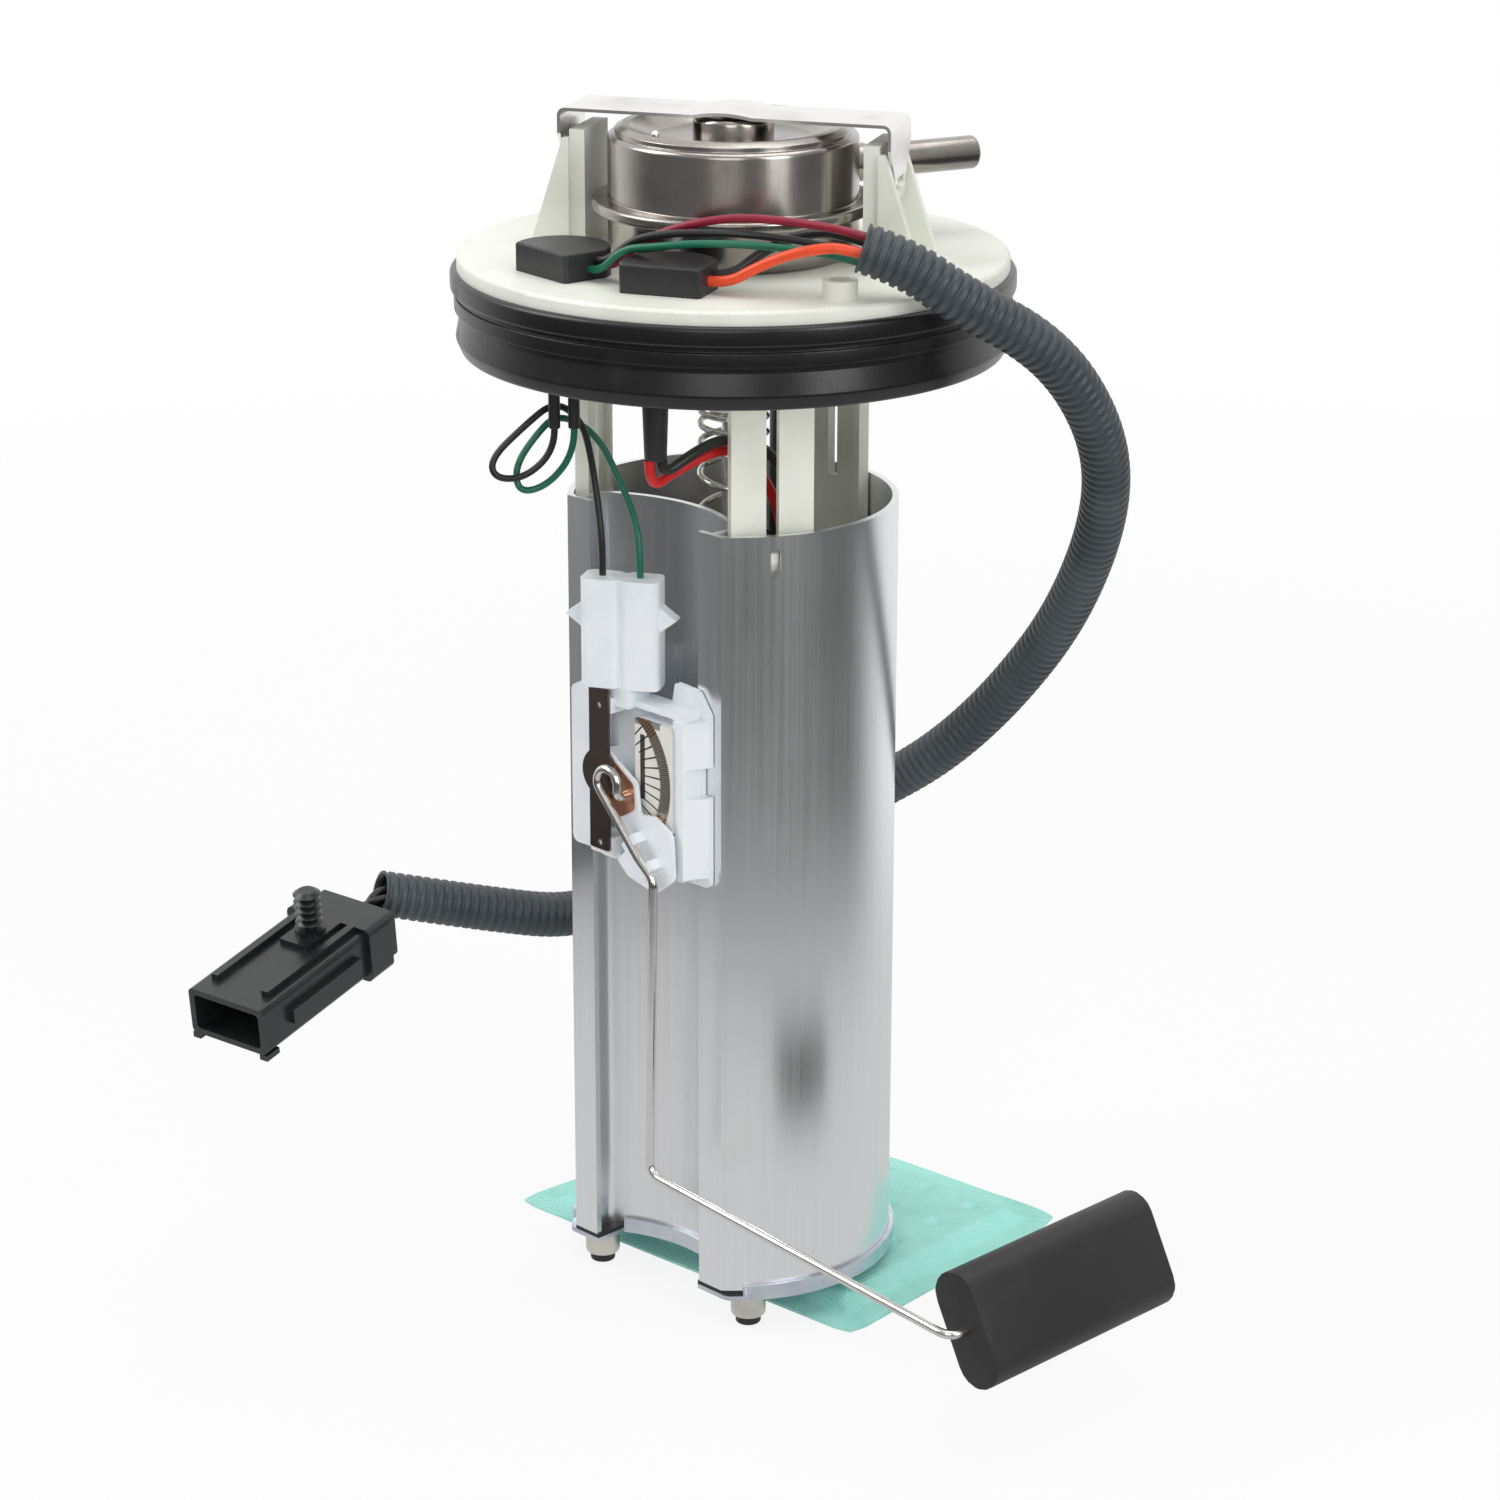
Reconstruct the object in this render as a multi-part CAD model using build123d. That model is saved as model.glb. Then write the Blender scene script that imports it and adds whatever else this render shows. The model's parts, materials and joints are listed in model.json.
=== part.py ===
"""Fuel pump module: flange, sliding reservoir, level sender with float, and harness.

Millimetres, +Z up.  The origin lies on the main axis at the underside of the flange plate.
-Y is the side of the level sender.
"""

import math
import os

from build123d import *

os.makedirs("parts", exist_ok=True)

# Heights of the main levels
FLOOR = -270.9
TUBE_TOP = -58.6
TUBE_FOOT = -260.6
CARRIER_TOP = -106.0
SPRING_SEAT = -36.0

# Flange plate and seal
PLATE_RADIUS = 68.5
PLATE_THICK = 3.5
SKIRT_RADIUS = 62.0
SKIRT_WALL = 2.5
SKIRT_DEPTH = 16.0
SEAL_WALL = 7.3
SEAL_RADIUS = SKIRT_RADIUS + SEAL_WALL
SEAL_DEPTH = 20.6
CUP_RADIUS = 10.2
CUP_WALL = 2.4
CUP_FLOOR = -24.0
PEG_PLACE = (55.8, -19.6)
HOSE_PLACE = (0, 20)
HOSE_BORE = 3.5
HOSE_WALL = 1.5
NIPPLE_DEPTH = 22.0
PUMP_GROMMET = (19.6, -45.4)
PUMP_GROMMET_RADIUS = 2.7
SENDER_GROMMETS = ((-11.2, -50.2), (-7.8, -46.8))
SENDER_GROMMET_RADIUS = 1.45

# Filter can and its strap
CAN_RADIUS = 31.0
CAN_WALL = 0.9
CAN_RIM = 35.2
DISH_RADIUS = 20.0
DISH_FLOOR = 32.0
BEAD_RADIUS = 35.0
REGULATOR_BODY = 8.0
STRAP_ANGLE = 28.4
STRAP_UNDERSIDE = 37.5
STRAP_THICK = 0.8
STRAP_WIDTH = 19.0
STRAP_SPAN = 85.0
STRAP_FOOT = 19.0
NUB_UNDERSIDE = 21.5
NUB_WIDTH = 4.6
TOWER_FACE = 39.5
TOWER_FOOT = 50.0
TOWER_HEIGHT = 33.0
FIN_THICK = 2.4
PIPE_ANGLE = 71.9
PIPE_RADIUS = 4.2
PIPE_BORE = 2.75
PIPE_HEIGHT = 22.5
PIPE_START = 29.0
PIPE_REACH = 68.0
COLLAR_RADIUS = 4.8
COLLAR_REACH = 36.5

# Legs, rod and spring
LEG_WIDTH = 20.8
LEG_THICK = 2.5
LEG_LENGTH = 80.0
LEG_SPLIT = 3.2
LEG_ANGLES = {"right": -30, "rear": 90, "left": 210}
ROD_RADIUS = 2.95
ROD_GROOVE = 2.45
ROD_FOOT = -124.0
CLIP_LEVEL = -121.1
CLIP_THICK = 0.8
CLIP_RADIUS = 5.2
TRAVEL = 25.0
SPRING_WIRE_RADIUS = 0.8
SPRING_RADIUS = 8.35
SPRING_PITCH = 7.3

# Reservoir tube with its concave recess
TUBE_RADIUS = 41.8
TUBE_WALL = 1.6
FLAT_Y = -31.3
RECESS_Y = -55.3
RECESS_RADIUS = 39.6
LIP_LAND = 4.7
LIP_REACH = 3.5
FLAT_HALF = math.sqrt(TUBE_RADIUS**2 - FLAT_Y**2)
CHANNEL_HALF = FLAT_HALF - LIP_LAND
OPENING_HALF = CHANNEL_HALF - LIP_REACH
CORNER = 2.5
LEG_GAP = 0.42
LEG_FACE = math.sqrt((TUBE_RADIUS - TUBE_WALL - LEG_GAP) ** 2 - (LEG_WIDTH / 2) ** 2)

# Base cap, feet and strainer
GASKET_THICK = 1.1
CAP_THICK = 1.2
CAP_RIM = 4.0
CAP_TOP = TUBE_FOOT - GASKET_THICK
CAP_LOW = CAP_TOP - CAP_THICK
NOTCH_HALF = OPENING_HALF - 0.5
FOOT_RADIUS = 4.55
FOOT_PLACES = ((30.2, -23.9), (-23.7, -25.4))
TIP_RADIUS = 3.3
TIP_HEIGHT = 2.2
SOCK_THICK = 5.0
NECK_RADIUS = 6.0
VALVE_RADIUS = 5.0
VALVE_STEM = 1.5
VALVE_REACH = TUBE_RADIUS - TUBE_WALL - VALVE_RADIUS - 4
VALVE_ANGLE = math.radians(130)
VALVE_PLACE = (VALVE_REACH * math.cos(VALVE_ANGLE), VALVE_REACH * math.sin(VALVE_ANGLE))

# Pump
PUMP_RADIUS = 19.0
PUMP_SHELL = 1.2
PUMP_TOP = -150.0
PUMP_FOOT = -256.0
PUMP_CAP = 10.0
PUMP_PORT = 3.5
ISOLATOR_WALL = 2.05
SLEEVE_WALL = 1.95
SLEEVE_RADIUS = PUMP_RADIUS + ISOLATOR_WALL + SLEEVE_WALL
SLEEVE_GAP = 3.1
PUMP_PLACE = (0, RECESS_Y + RECESS_RADIUS + TUBE_WALL + SLEEVE_GAP + SLEEVE_RADIUS)
PUMP_PLUG_TOP = PUMP_TOP + 9
NIPPLE_TOP = PUMP_TOP + 20
HOSE_FOOT = PUMP_TOP + 5
HOSE_TOP = -8.0
CLAMP_WIDTH = 5.0

# Level sender: pivot on the side plane, and depths from the flat outwards
PIVOT = (-4.9, -124.4)
BRACKET_BACK = -31.5
TRAY_FLOOR = -34.6
TRAY_FRONT = -38.5
LEVER_BACK = -40.2
LEVER_FRONT = -41.3
STRAP_BACK = -41.6
STRAP_FRONT = -42.3
ARM_PLANE = -44.4
ARM_RADIUS = 1.15
TRACK_RADIUS = 21.0
REST_ANGLE = -24.0
AXLE_RADIUS = 2.45
TRACK_HALF = 1.4
TRACK_LOW = -26
TRACK_HIGH = 38
TRACK_THICK = 0.15
CARD_THICK = 0.8
CARD_FRONT = -39.2
PLUG_FOOT = -101.0
PLUG_TOP = -73.0
PLUG_PLACE = Pos(-0.6, -37.7, 0) * Rot(0, 0, 30)

# Float
FLOAT_CENTRE = (119.8, -236.3)
FLOAT_LONG = 30.0
FLOAT_THICK = 13.0
FLOAT_TILT = -63.0
FLOAT_NEAR = -39.0
FLOAT_FAR = 27.5
ARM_POINTS = (
    (3.9, LEVER_BACK - 0.2, -128.4),
    (3.9, ARM_PLANE, -128.4),
    (4.0, ARM_PLANE, -122.6),
    (-1.3, ARM_PLANE, -121.1),
    (-4.1, ARM_PLANE, -125.8),
    (11.6, ARM_PLANE, -142.6),
    (16.9, ARM_PLANE, -146.9),
    (15.0, ARM_PLANE, -227.6),
    (FLOAT_CENTRE[0], ARM_PLANE, FLOAT_CENTRE[1]),
    (FLOAT_CENTRE[0], FLOAT_FAR + 1.6, FLOAT_CENTRE[1]),
)
ARM_BENDS = (1.8, 3.2, 3.2, 3.2, 6.0, 4.0, 3.5, 4.0)

# Harness
CONDUIT_RADIUS = 6.0
CONDUIT_BORE = 4.5
MOUTH_CENTRE = (-54.2, -124.4, -182.8)
CONNECTOR_WIDTH = 23.8
CONNECTOR_HEIGHT = 13.2
CONNECTOR_LENGTH = 54.6
CONNECTOR = Plane(origin=MOUTH_CENTRE, x_dir=(-0.972, -0.223, 0.065), z_dir=(-0.206, 0.960, 0.174))
MOUTH_DEPTH = 22.0
SHELL = 1.7
POCKET_DEPTH = 9.0
CONDUIT_POINTS = (
    (62.5, -19.3, 16.4),
    (70.1, -12.8, 13.3),
    (79.5, -3.9, 4.4),
    (91.3, 16.2, -8.9),
    (90.8, 36.0, -32.1),
    (81.1, 50.2, -56.7),
    (59.5, 62.0, -89.8),
    (35.4, 66.6, -117.9),
    (13.5, 65.9, -139.6),
    (-6.1, 60.8, -154.2),
    (-25.5, 50.8, -166.5),
    (-42.0, 34.8, -176.4),
    (-51.3, 12.3, -182.8),
    (-47.4, -12.6, -183.3),
    (-53.8, -40.5, -174.7),
    (-65.2, -64.9, -167.1),
)

# Clearances
RUNNING = 0.05
SOCKET_GAP = 0.1
STOP_GAP = 0.3

UPRIGHT = (Align.CENTER, Align.CENTER, Align.MIN)
CORNERED = (Align.MIN, Align.MIN, Align.MIN)


def disc(radius, low, high, place=(0, 0)):
    """An upright cylinder between two heights."""
    return Pos(place[0], place[1], low) * Cylinder(radius, high - low, align=UPRIGHT)


def ring(outer, inner, low, high, place=(0, 0)):
    """An upright ring between two heights."""
    return disc(outer, low, high, place) - disc(inner, low, high, place)


def block(x, y, z):
    """A box between three pairs of limits."""
    return Pos(x[0], y[0], z[0]) * Box(x[1] - x[0], y[1] - y[0], z[1] - z[0], align=CORNERED)


def rounded(corners):
    """A flat outline; each corner is its two coordinates and its rounding."""
    face = make_face(Polyline(*[corner[:2] for corner in corners], close=True))
    for across, up, rounding in corners:
        if rounding:
            face = fillet(face.vertices().sort_by_distance((across, up))[0], rounding)
    return face


def turned(corners):
    """A solid of revolution about the main axis; each corner is radius, height and rounding."""
    return revolve(Plane.XZ * rounded(corners), Axis.Z)


def standing(face, low, high):
    """A plan outline drawn up between two heights."""
    return extrude(Pos(0, 0, low) * face, high - low)


def facing(face, back, front):
    """An outline on the sender's side plane, drawn out towards -Y."""
    return extrude(Plane.XZ.offset(-back) * face, back - front)


def ray(angle, distance):
    """A point of the side plane at an angle and a distance from the sender's pivot."""
    turn = math.radians(angle)
    return (PIVOT[0] + distance * math.cos(turn), PIVOT[1] + distance * math.sin(turn))


def pivot_disc(radius):
    """A round outline about the sender's pivot."""
    return Pos(*PIVOT) * Circle(radius)


def bend_radius(before, corner, after):
    """The arc at a corner that leaves a tenth of the shorter run straight."""
    first = Vector(*corner) - Vector(*before)
    second = Vector(*after) - Vector(*corner)
    half_turn = math.radians(first.get_angle(second)) / 2
    return 0.45 * min(first.length, second.length) / math.tan(half_turn)


def route(name, points):
    """Straight runs joined by tangent arcs."""
    radii = [bend_radius(*points[i : i + 3]) for i in range(len(points) - 2)]
    path = FilletPolyline(*points, radius=radii)
    print(name, "length", round(path.length, 1), "tightest bend", round(min(radii), 1))
    return path


def along(path, section):
    """A section swept along a route."""
    return sweep(Plane(origin=path @ 0, z_dir=path % 0) * section, path=path)


def cord(name, points, radius):
    """A round cord along its points."""
    return along(route(name, points), Circle(radius))


# Reservoir outlines


def behind(face, front):
    """The part of a plan outline behind a line across the sender side."""
    return face & (Pos(0, front) * Rectangle(200, 200, align=(Align.CENTER, Align.MIN)))


def recess(radius, half_width, rounding=0):
    """The concave hollow that faces the sender."""
    face = (Pos(0, RECESS_Y) * Circle(radius)) & Rectangle(2 * half_width, 400)
    if rounding:
        face = fillet([corner for corner in face.vertices() if corner.Y > RECESS_Y], rounding)
    return face


def chamber(gap=0):
    """The inside of the reservoir, drawn in by a gap."""
    wall = TUBE_WALL + gap
    inside = behind(Circle(TUBE_RADIUS - wall), FLAT_Y + wall)
    return inside - recess(RECESS_RADIUS + wall, CHANNEL_HALF + wall, CORNER + wall)


def base_outline(radius, notch_radius):
    """The plan outline of the parts under the tube."""
    return behind(Circle(radius), FLAT_Y) - recess(notch_radius, NOTCH_HALF)


# Flange end


def tower():
    """One strap tower, drawn outwards along X."""
    wall = block((TOWER_FACE - 3.9, TOWER_FACE), (-9, 9), (0, TOWER_HEIGHT))
    fin_top = TOWER_HEIGHT - 2
    slope = Polyline(
        (TOWER_FACE, PLATE_THICK - 0.5),
        (TOWER_FOOT, PLATE_THICK - 0.5),
        (TOWER_FACE + 1.5, fin_top),
        (TOWER_FACE, fin_top),
        close=True,
    )
    fin = extrude(Plane.XZ * make_face(slope), FIN_THICK)
    nub_back = TOWER_FACE - 1.5
    nub_front = STRAP_SPAN / 2 + 0.7
    nub_outline = Polyline(
        (nub_back, NUB_UNDERSIDE),
        (nub_front, NUB_UNDERSIDE),
        (nub_front, NUB_UNDERSIDE + 0.9),
        (nub_back, NUB_UNDERSIDE + 3.5),
        close=True,
    )
    nub = extrude(Plane.XZ.offset(-NUB_WIDTH / 2) * make_face(nub_outline), NUB_WIDTH)
    return wall + Pos(0, 10, 0) * fin + Pos(0, FIN_THICK - 10, 0) * fin + nub


def leg_blank(grow=0):
    """The flat of one leg along X, with room around it."""
    half = LEG_WIDTH / 2 + grow
    return block((LEG_FACE - LEG_THICK - grow, LEG_FACE + grow), (-half, half), (-LEG_LENGTH, 0))


def leg(angle):
    """One guide leg with two prongs, edge ribs and a catch nub."""
    shape = leg_blank()
    inner = LEG_FACE - LEG_THICK
    for side in (-1, 1):
        edge = side * (LEG_WIDTH / 2 - 1.1)
        shape += block((inner - 1, inner), (edge - 1.1, edge + 1.1), (2 - LEG_LENGTH, -8))
    shape -= block((inner - 1, LEG_FACE + 1), (-LEG_SPLIT / 2, LEG_SPLIT / 2), (-60.5, -22))
    tip = LEG_FACE + 1.5
    wedge = Polyline((LEG_FACE, -69), (tip, -66), (tip, -63.5), (LEG_FACE, -63), close=True)
    shape += extrude(Plane.XZ.offset(-1.1) * make_face(wedge), 2.2)
    return Rot(0, 0, angle) * shape


def leg_socket(angle):
    """The collar on the plate that takes the root of a leg."""
    collar = leg_blank(SOCKET_GAP + 1.6) & block((0, 60), (-30, 30), (-6, 0))
    return Rot(0, 0, angle) * (collar - leg_blank(SOCKET_GAP))


def spring_cup():
    """The hollow boss that carries the guide rod and centres the spring."""
    nose = CUP_RADIUS - 1.4
    return turned(
        [
            (0, 0, 0),
            (CUP_RADIUS, 0, 0),
            (CUP_RADIUS, SPRING_SEAT + 5, 2),
            (nose, SPRING_SEAT, 1),
            (0, SPRING_SEAT, 0),
        ]
    )


def flange_plate():
    """The cream moulding: plate, skirt, towers, boss, cup, nipple and leg sockets."""
    skirt_inside = SKIRT_RADIUS - SKIRT_WALL
    shape = turned(
        [
            (0, PLATE_THICK, 0),
            (PLATE_RADIUS, PLATE_THICK, 0.8),
            (PLATE_RADIUS, 0, 0),
            (SKIRT_RADIUS, 0, 0),
            (SKIRT_RADIUS, -SKIRT_DEPTH, 0.5),
            (skirt_inside, -SKIRT_DEPTH, 0.5),
            (skirt_inside, 0, 1),
            (0, 0, 0),
        ]
    )
    shape += spring_cup()
    for turn in (STRAP_ANGLE, STRAP_ANGLE + 180):
        shape += Rot(0, 0, turn) * tower()
    for angle in LEG_ANGLES.values():
        shape += leg_socket(angle)
    shape += ring(4.2, 2.6, PLATE_THICK, PLATE_THICK + 4.5, PEG_PLACE)
    shape += disc(HOSE_BORE, -NIPPLE_DEPTH, 0, HOSE_PLACE)
    shape -= disc(HOSE_BORE - 1.3, -NIPPLE_DEPTH, PLATE_THICK, HOSE_PLACE)
    shape -= disc(CUP_RADIUS - CUP_WALL, CUP_FLOOR, PLATE_THICK)
    shape -= disc(ROD_RADIUS, SPRING_SEAT, CUP_FLOOR)
    shape -= Pos(0, -CUP_RADIUS, CUP_FLOOR + 6) * Rot(90, 0, 0) * Cylinder(2, 6)
    shape -= disc(PUMP_GROMMET_RADIUS, 0, PLATE_THICK, PUMP_GROMMET)
    for place in SENDER_GROMMETS:
        shape -= disc(SENDER_GROMMET_RADIUS, 0, PLATE_THICK, place)
    return shape


def tank_seal():
    """The black rubber ring round the plate's skirt."""
    return turned(
        [
            (SKIRT_RADIUS, 0, 0),
            (SEAL_RADIUS + 0.9, 0, 1.2),
            (SEAL_RADIUS + 0.9, -5.2, 1.2),
            (SEAL_RADIUS - 0.7, -5.2, 0),
            (SEAL_RADIUS - 0.7, -6.4, 0),
            (SEAL_RADIUS, -6.4, 0),
            (SEAL_RADIUS, -9.8, 0),
            (SEAL_RADIUS - 1.4, -10.2, 0),
            (SEAL_RADIUS - 1.4, -11.5, 0),
            (SEAL_RADIUS - 0.3, 3.6 - SEAL_DEPTH, 1.5),
            (SEAL_RADIUS - 1.8, -SEAL_DEPTH, 1.5),
            (SKIRT_RADIUS, -SEAL_DEPTH, 1),
        ]
    )


def filter_can():
    """The rolled steel can: two shells joined at a bead, dished on top."""
    inside = CAN_RADIUS - CAN_WALL
    floor = PLATE_THICK
    outer = turned(
        [
            (0, floor, 0),
            (CAN_RADIUS, floor, 3),
            (CAN_RADIUS, 14.3, 0.4),
            (BEAD_RADIUS, 14.3, 1),
            (BEAD_RADIUS, 17.3, 1),
            (CAN_RADIUS, 17.3, 0.4),
            (CAN_RADIUS, 33.1, 1.4),
            (CAN_RADIUS - 1.8, 33.1, 0),
            (CAN_RADIUS - 1.8, 34.3, 0),
            (CAN_RADIUS - 3.7, CAN_RIM, 0.5),
            (CAN_RADIUS - 5.5, CAN_RIM, 1),
            (DISH_RADIUS, DISH_FLOOR, 2),
            (0, DISH_FLOOR, 0),
        ]
    )
    inner = turned(
        [
            (0, floor + CAN_WALL, 0),
            (inside, floor + CAN_WALL, 2.1),
            (inside, 32.2, 0.6),
            (inside - 1.9, 33.3, 0.5),
            (inside - 4.1, CAN_RIM - 1, 0.5),
            (DISH_RADIUS + 0.3, DISH_FLOOR - CAN_WALL, 1.5),
            (0, DISH_FLOOR - CAN_WALL, 0),
        ]
    )
    shape = outer - inner
    shape -= disc(REGULATOR_BODY, DISH_FLOOR - 2, DISH_FLOOR + 1)
    shape -= disc(4, floor, floor + CAN_WALL)
    shape -= disc(HOSE_BORE - 1.3, floor, floor + CAN_WALL, HOSE_PLACE)
    return shape - on_outlet(disc(COLLAR_RADIUS, PIPE_START, COLLAR_REACH))


def on_outlet(shape):
    """Lays an upright piece along the axis of the outlet."""
    return Rot(0, 0, PIPE_ANGLE) * Pos(0, 0, PIPE_HEIGHT) * Rot(0, 90, 0) * shape


def outlet_pipe():
    """The steel outlet pipe: a stop collar at its root and a rounded tip."""
    pipe = disc(PIPE_RADIUS, PIPE_START, PIPE_REACH)
    pipe = fillet(pipe.edges().group_by(Axis.Z)[-1], 1.2)
    pipe += disc(COLLAR_RADIUS, PIPE_START, COLLAR_REACH)
    return on_outlet(pipe - disc(PIPE_BORE, PIPE_START, PIPE_REACH))


def can_ball():
    """The small ball plug on the rim of the can."""
    place = (0, 4.6 - CAN_RADIUS)
    return Pos(*place, CAN_RIM + 0.4) * Sphere(1) & disc(3, CAN_RIM, CAN_RIM + 5, place)


def filter_element():
    """The paper filter ring in the can."""
    return ring(CAN_RADIUS - CAN_WALL - 2.3, 13, PLATE_THICK + CAN_WALL, DISH_FLOOR - 3)


def pressure_regulator():
    """The regulator in the middle of the can; its cap shows in the dish."""
    return turned(
        [
            (0, PLATE_THICK + CAN_WALL, 0),
            (6.5, PLATE_THICK + CAN_WALL, 0),
            (6.5, 14, 0),
            (REGULATOR_BODY, 14, 0),
            (REGULATOR_BODY, DISH_FLOOR, 0),
            (10, DISH_FLOOR, 0),
            (10, STRAP_UNDERSIDE, 1.8),
            (3, STRAP_UNDERSIDE, 0),
            (3, STRAP_UNDERSIDE + 1.86, 0.5),
            (0, STRAP_UNDERSIDE + 1.86, 0),
        ]
    )


def retaining_strap():
    """The spring steel strap over the can, hooked on a tower at each end."""
    half = STRAP_SPAN / 2
    top = STRAP_UNDERSIDE + STRAP_THICK
    outside = rounded([(-half, STRAP_FOOT, 0), (-half, top, 2), (half, top, 2), (half, STRAP_FOOT, 0)])
    under = half - STRAP_THICK
    inside = rounded(
        [(-under, 0, 0), (-under, STRAP_UNDERSIDE, 1.2), (under, STRAP_UNDERSIDE, 1.2), (under, 0, 0)]
    )
    shape = extrude(Plane.XZ.offset(-STRAP_WIDTH / 2) * (outside - inside), STRAP_WIDTH)
    shape -= disc(12, STRAP_UNDERSIDE - 1, top + 1)
    dome_radius = 37.0
    crown = top + 2
    dome = Pos(0, 0, crown - dome_radius) * (Sphere(dome_radius) - Sphere(dome_radius - STRAP_THICK))
    dome &= disc(12.2, STRAP_UNDERSIDE, crown + 1)
    shape += dome & block((-20, 20), (-STRAP_WIDTH / 2, STRAP_WIDTH / 2), (0, 60))
    waist = rounded([(4.8, 0, 0), (30, 0, 0), (30, 32, 0), (STRAP_WIDTH / 2, 32, 0), (4.8, 24, 0)])
    cut = extrude(Plane.YZ.offset(-60) * waist, 120)
    shape -= cut
    shape -= mirror(cut, Plane.XZ)
    slot = NUB_WIDTH / 2 + STOP_GAP
    shape -= block((-60, 60), (-slot, slot), (NUB_UNDERSIDE, NUB_UNDERSIDE + 3))
    return Rot(0, 0, STRAP_ANGLE) * shape


def wire_block(place, angle):
    """A potted wire block: a round block with an outer and a side flat."""
    outline = Circle(11.8) & Pos(-4.5, 0) * Rectangle(22.6, 30) & Pos(0, -1.5) * Rectangle(30, 23.6)
    shape = extrude(outline, 7)
    shape = fillet(shape.edges().group_by(Axis.Z)[-1], 0.6)
    return Pos(place[0], place[1], PLATE_THICK) * Rot(0, 0, angle) * shape


def pump_grommet():
    """The tapered sleeve that leads both pump wires through the plate."""
    root = PUMP_GROMMET_RADIUS
    wide = root + 0.5
    sleeve = turned([(0, 0, 0), (wide, 0, 0), (wide, -24, 0), (root, -38, 0.8), (0, -38, 0)])
    return Pos(*PUMP_GROMMET, 0) * (sleeve + disc(root, 0, PLATE_THICK))


def sender_grommets():
    """The two thin sleeves of the sender wires."""
    sleeve = disc(SENDER_GROMMET_RADIUS, -35, PLATE_THICK)
    sleeve = fillet(sleeve.edges().group_by(Axis.Z)[0], 0.5)
    return Compound(children=[Pos(x, y, 0) * sleeve for x, y in SENDER_GROMMETS])


def guide_rod():
    """The rod on the axis that the carrier slides on."""
    rod = disc(ROD_RADIUS, ROD_FOOT, CUP_FLOOR)
    rod = chamfer(rod.edges().group_by(Axis.Z)[0], 0.6)
    return rod - ring(ROD_RADIUS + 1, ROD_GROOVE, CLIP_LEVEL - 0.1, CLIP_LEVEL + CLIP_THICK)


def rod_clip():
    """The retaining clip near the foot of the rod."""
    top = CLIP_LEVEL + CLIP_THICK
    gap = block((-1.9, 1.9), (0, CLIP_RADIUS + 1), (CLIP_LEVEL, top))
    return ring(CLIP_RADIUS, ROD_GROOVE, CLIP_LEVEL, top) - gap


def coil_spring():
    """The spring between the flange and the pump carrier."""
    low = CARRIER_TOP + SPRING_WIRE_RADIUS
    high = SPRING_SEAT - SPRING_WIRE_RADIUS
    coil = Pos(0, 0, low) * Helix(SPRING_PITCH, high - low, SPRING_RADIUS)
    return along(coil, Circle(SPRING_WIRE_RADIUS))


# Reservoir end


def reservoir_tube():
    """The extruded tube: a round chamber with a recess that opens to the sender side."""
    section = behind(Circle(TUBE_RADIUS), FLAT_Y) - chamber()
    section -= behind(recess(RECESS_RADIUS, CHANNEL_HALF, CORNER), FLAT_Y + TUBE_WALL)
    section -= Pos(0, FLAT_Y - 1) * Rectangle(2 * OPENING_HALF, 5, align=(Align.CENTER, Align.MIN))
    shape = standing(section, TUBE_FOOT, TUBE_TOP)
    for angle in LEG_ANGLES.values():
        slot = block((TUBE_RADIUS - 6, TUBE_RADIUS + 6), (-1.3, 1.3), (-69.3, -61.9))
        shape -= Rot(0, 0, angle) * slot
    return shape


def base_gasket():
    """The gasket between tube and cap."""
    return standing(base_outline(TUBE_RADIUS, RECESS_RADIUS) - chamber(2), CAP_TOP, TUBE_FOOT)


def base_cap():
    """The pressed cap with a rim round the tube and along the recess."""
    outside = TUBE_RADIUS + RUNNING + CAP_THICK
    floor = base_outline(outside, RECESS_RADIUS - CAP_THICK)
    floor = fillet([corner for corner in floor.vertices() if abs(corner.X) > NOTCH_HALF + 1], 3)
    shape = standing(floor, CAP_LOW, CAP_TOP)
    wall = behind(Circle(outside) - Circle(TUBE_RADIUS + RUNNING), FLAT_Y + 4)
    inner_wall = recess(RECESS_RADIUS - RUNNING, NOTCH_HALF) - recess(RECESS_RADIUS - CAP_THICK, NOTCH_HALF)
    wall += behind(inner_wall, FLAT_Y)
    shape += standing(wall, CAP_LOW, CAP_LOW + CAP_RIM)
    shape -= disc(NECK_RADIUS, CAP_LOW, CAP_TOP, PUMP_PLACE)
    shape -= disc(VALVE_STEM, CAP_LOW, CAP_TOP, VALVE_PLACE)
    return shape


def cap_feet():
    """The two round feet riveted to the cap."""
    foot = disc(FOOT_RADIUS, FLOOR + TIP_HEIGHT, CAP_LOW)
    foot = fillet(foot.edges().group_by(Axis.Z)[0], 1.2)
    return Compound(children=[Pos(x, y, 0) * foot for x, y in FOOT_PLACES])


def foot_tips():
    """The rubber tips under the feet."""
    tip = disc(TIP_RADIUS, FLOOR, FLOOR + TIP_HEIGHT)
    tip = fillet(tip.edges().group_by(Axis.Z)[0], 0.7)
    return Compound(children=[Pos(x, y, 0) * tip for x, y in FOOT_PLACES])


def strainer_sock():
    """The flat fabric strainer under the reservoir."""
    outline = rounded([(-66, -18, 5), (55, -11, 6), (46, 80, 6), (-58, 73, 8)])
    shape = standing(outline, FLOOR, FLOOR + SOCK_THICK)
    return fillet(shape.edges().group_by(Axis.Z)[-1], 2)


def strainer_neck():
    """The inlet tube from the strainer to the pump."""
    neck = disc(NECK_RADIUS, FLOOR + SOCK_THICK, PUMP_FOOT, PUMP_PLACE)
    neck += disc(NECK_RADIUS + 3, CAP_TOP, PUMP_FOOT, PUMP_PLACE)
    return neck - disc(PUMP_PORT, FLOOR + SOCK_THICK, PUMP_FOOT, PUMP_PLACE)


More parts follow.
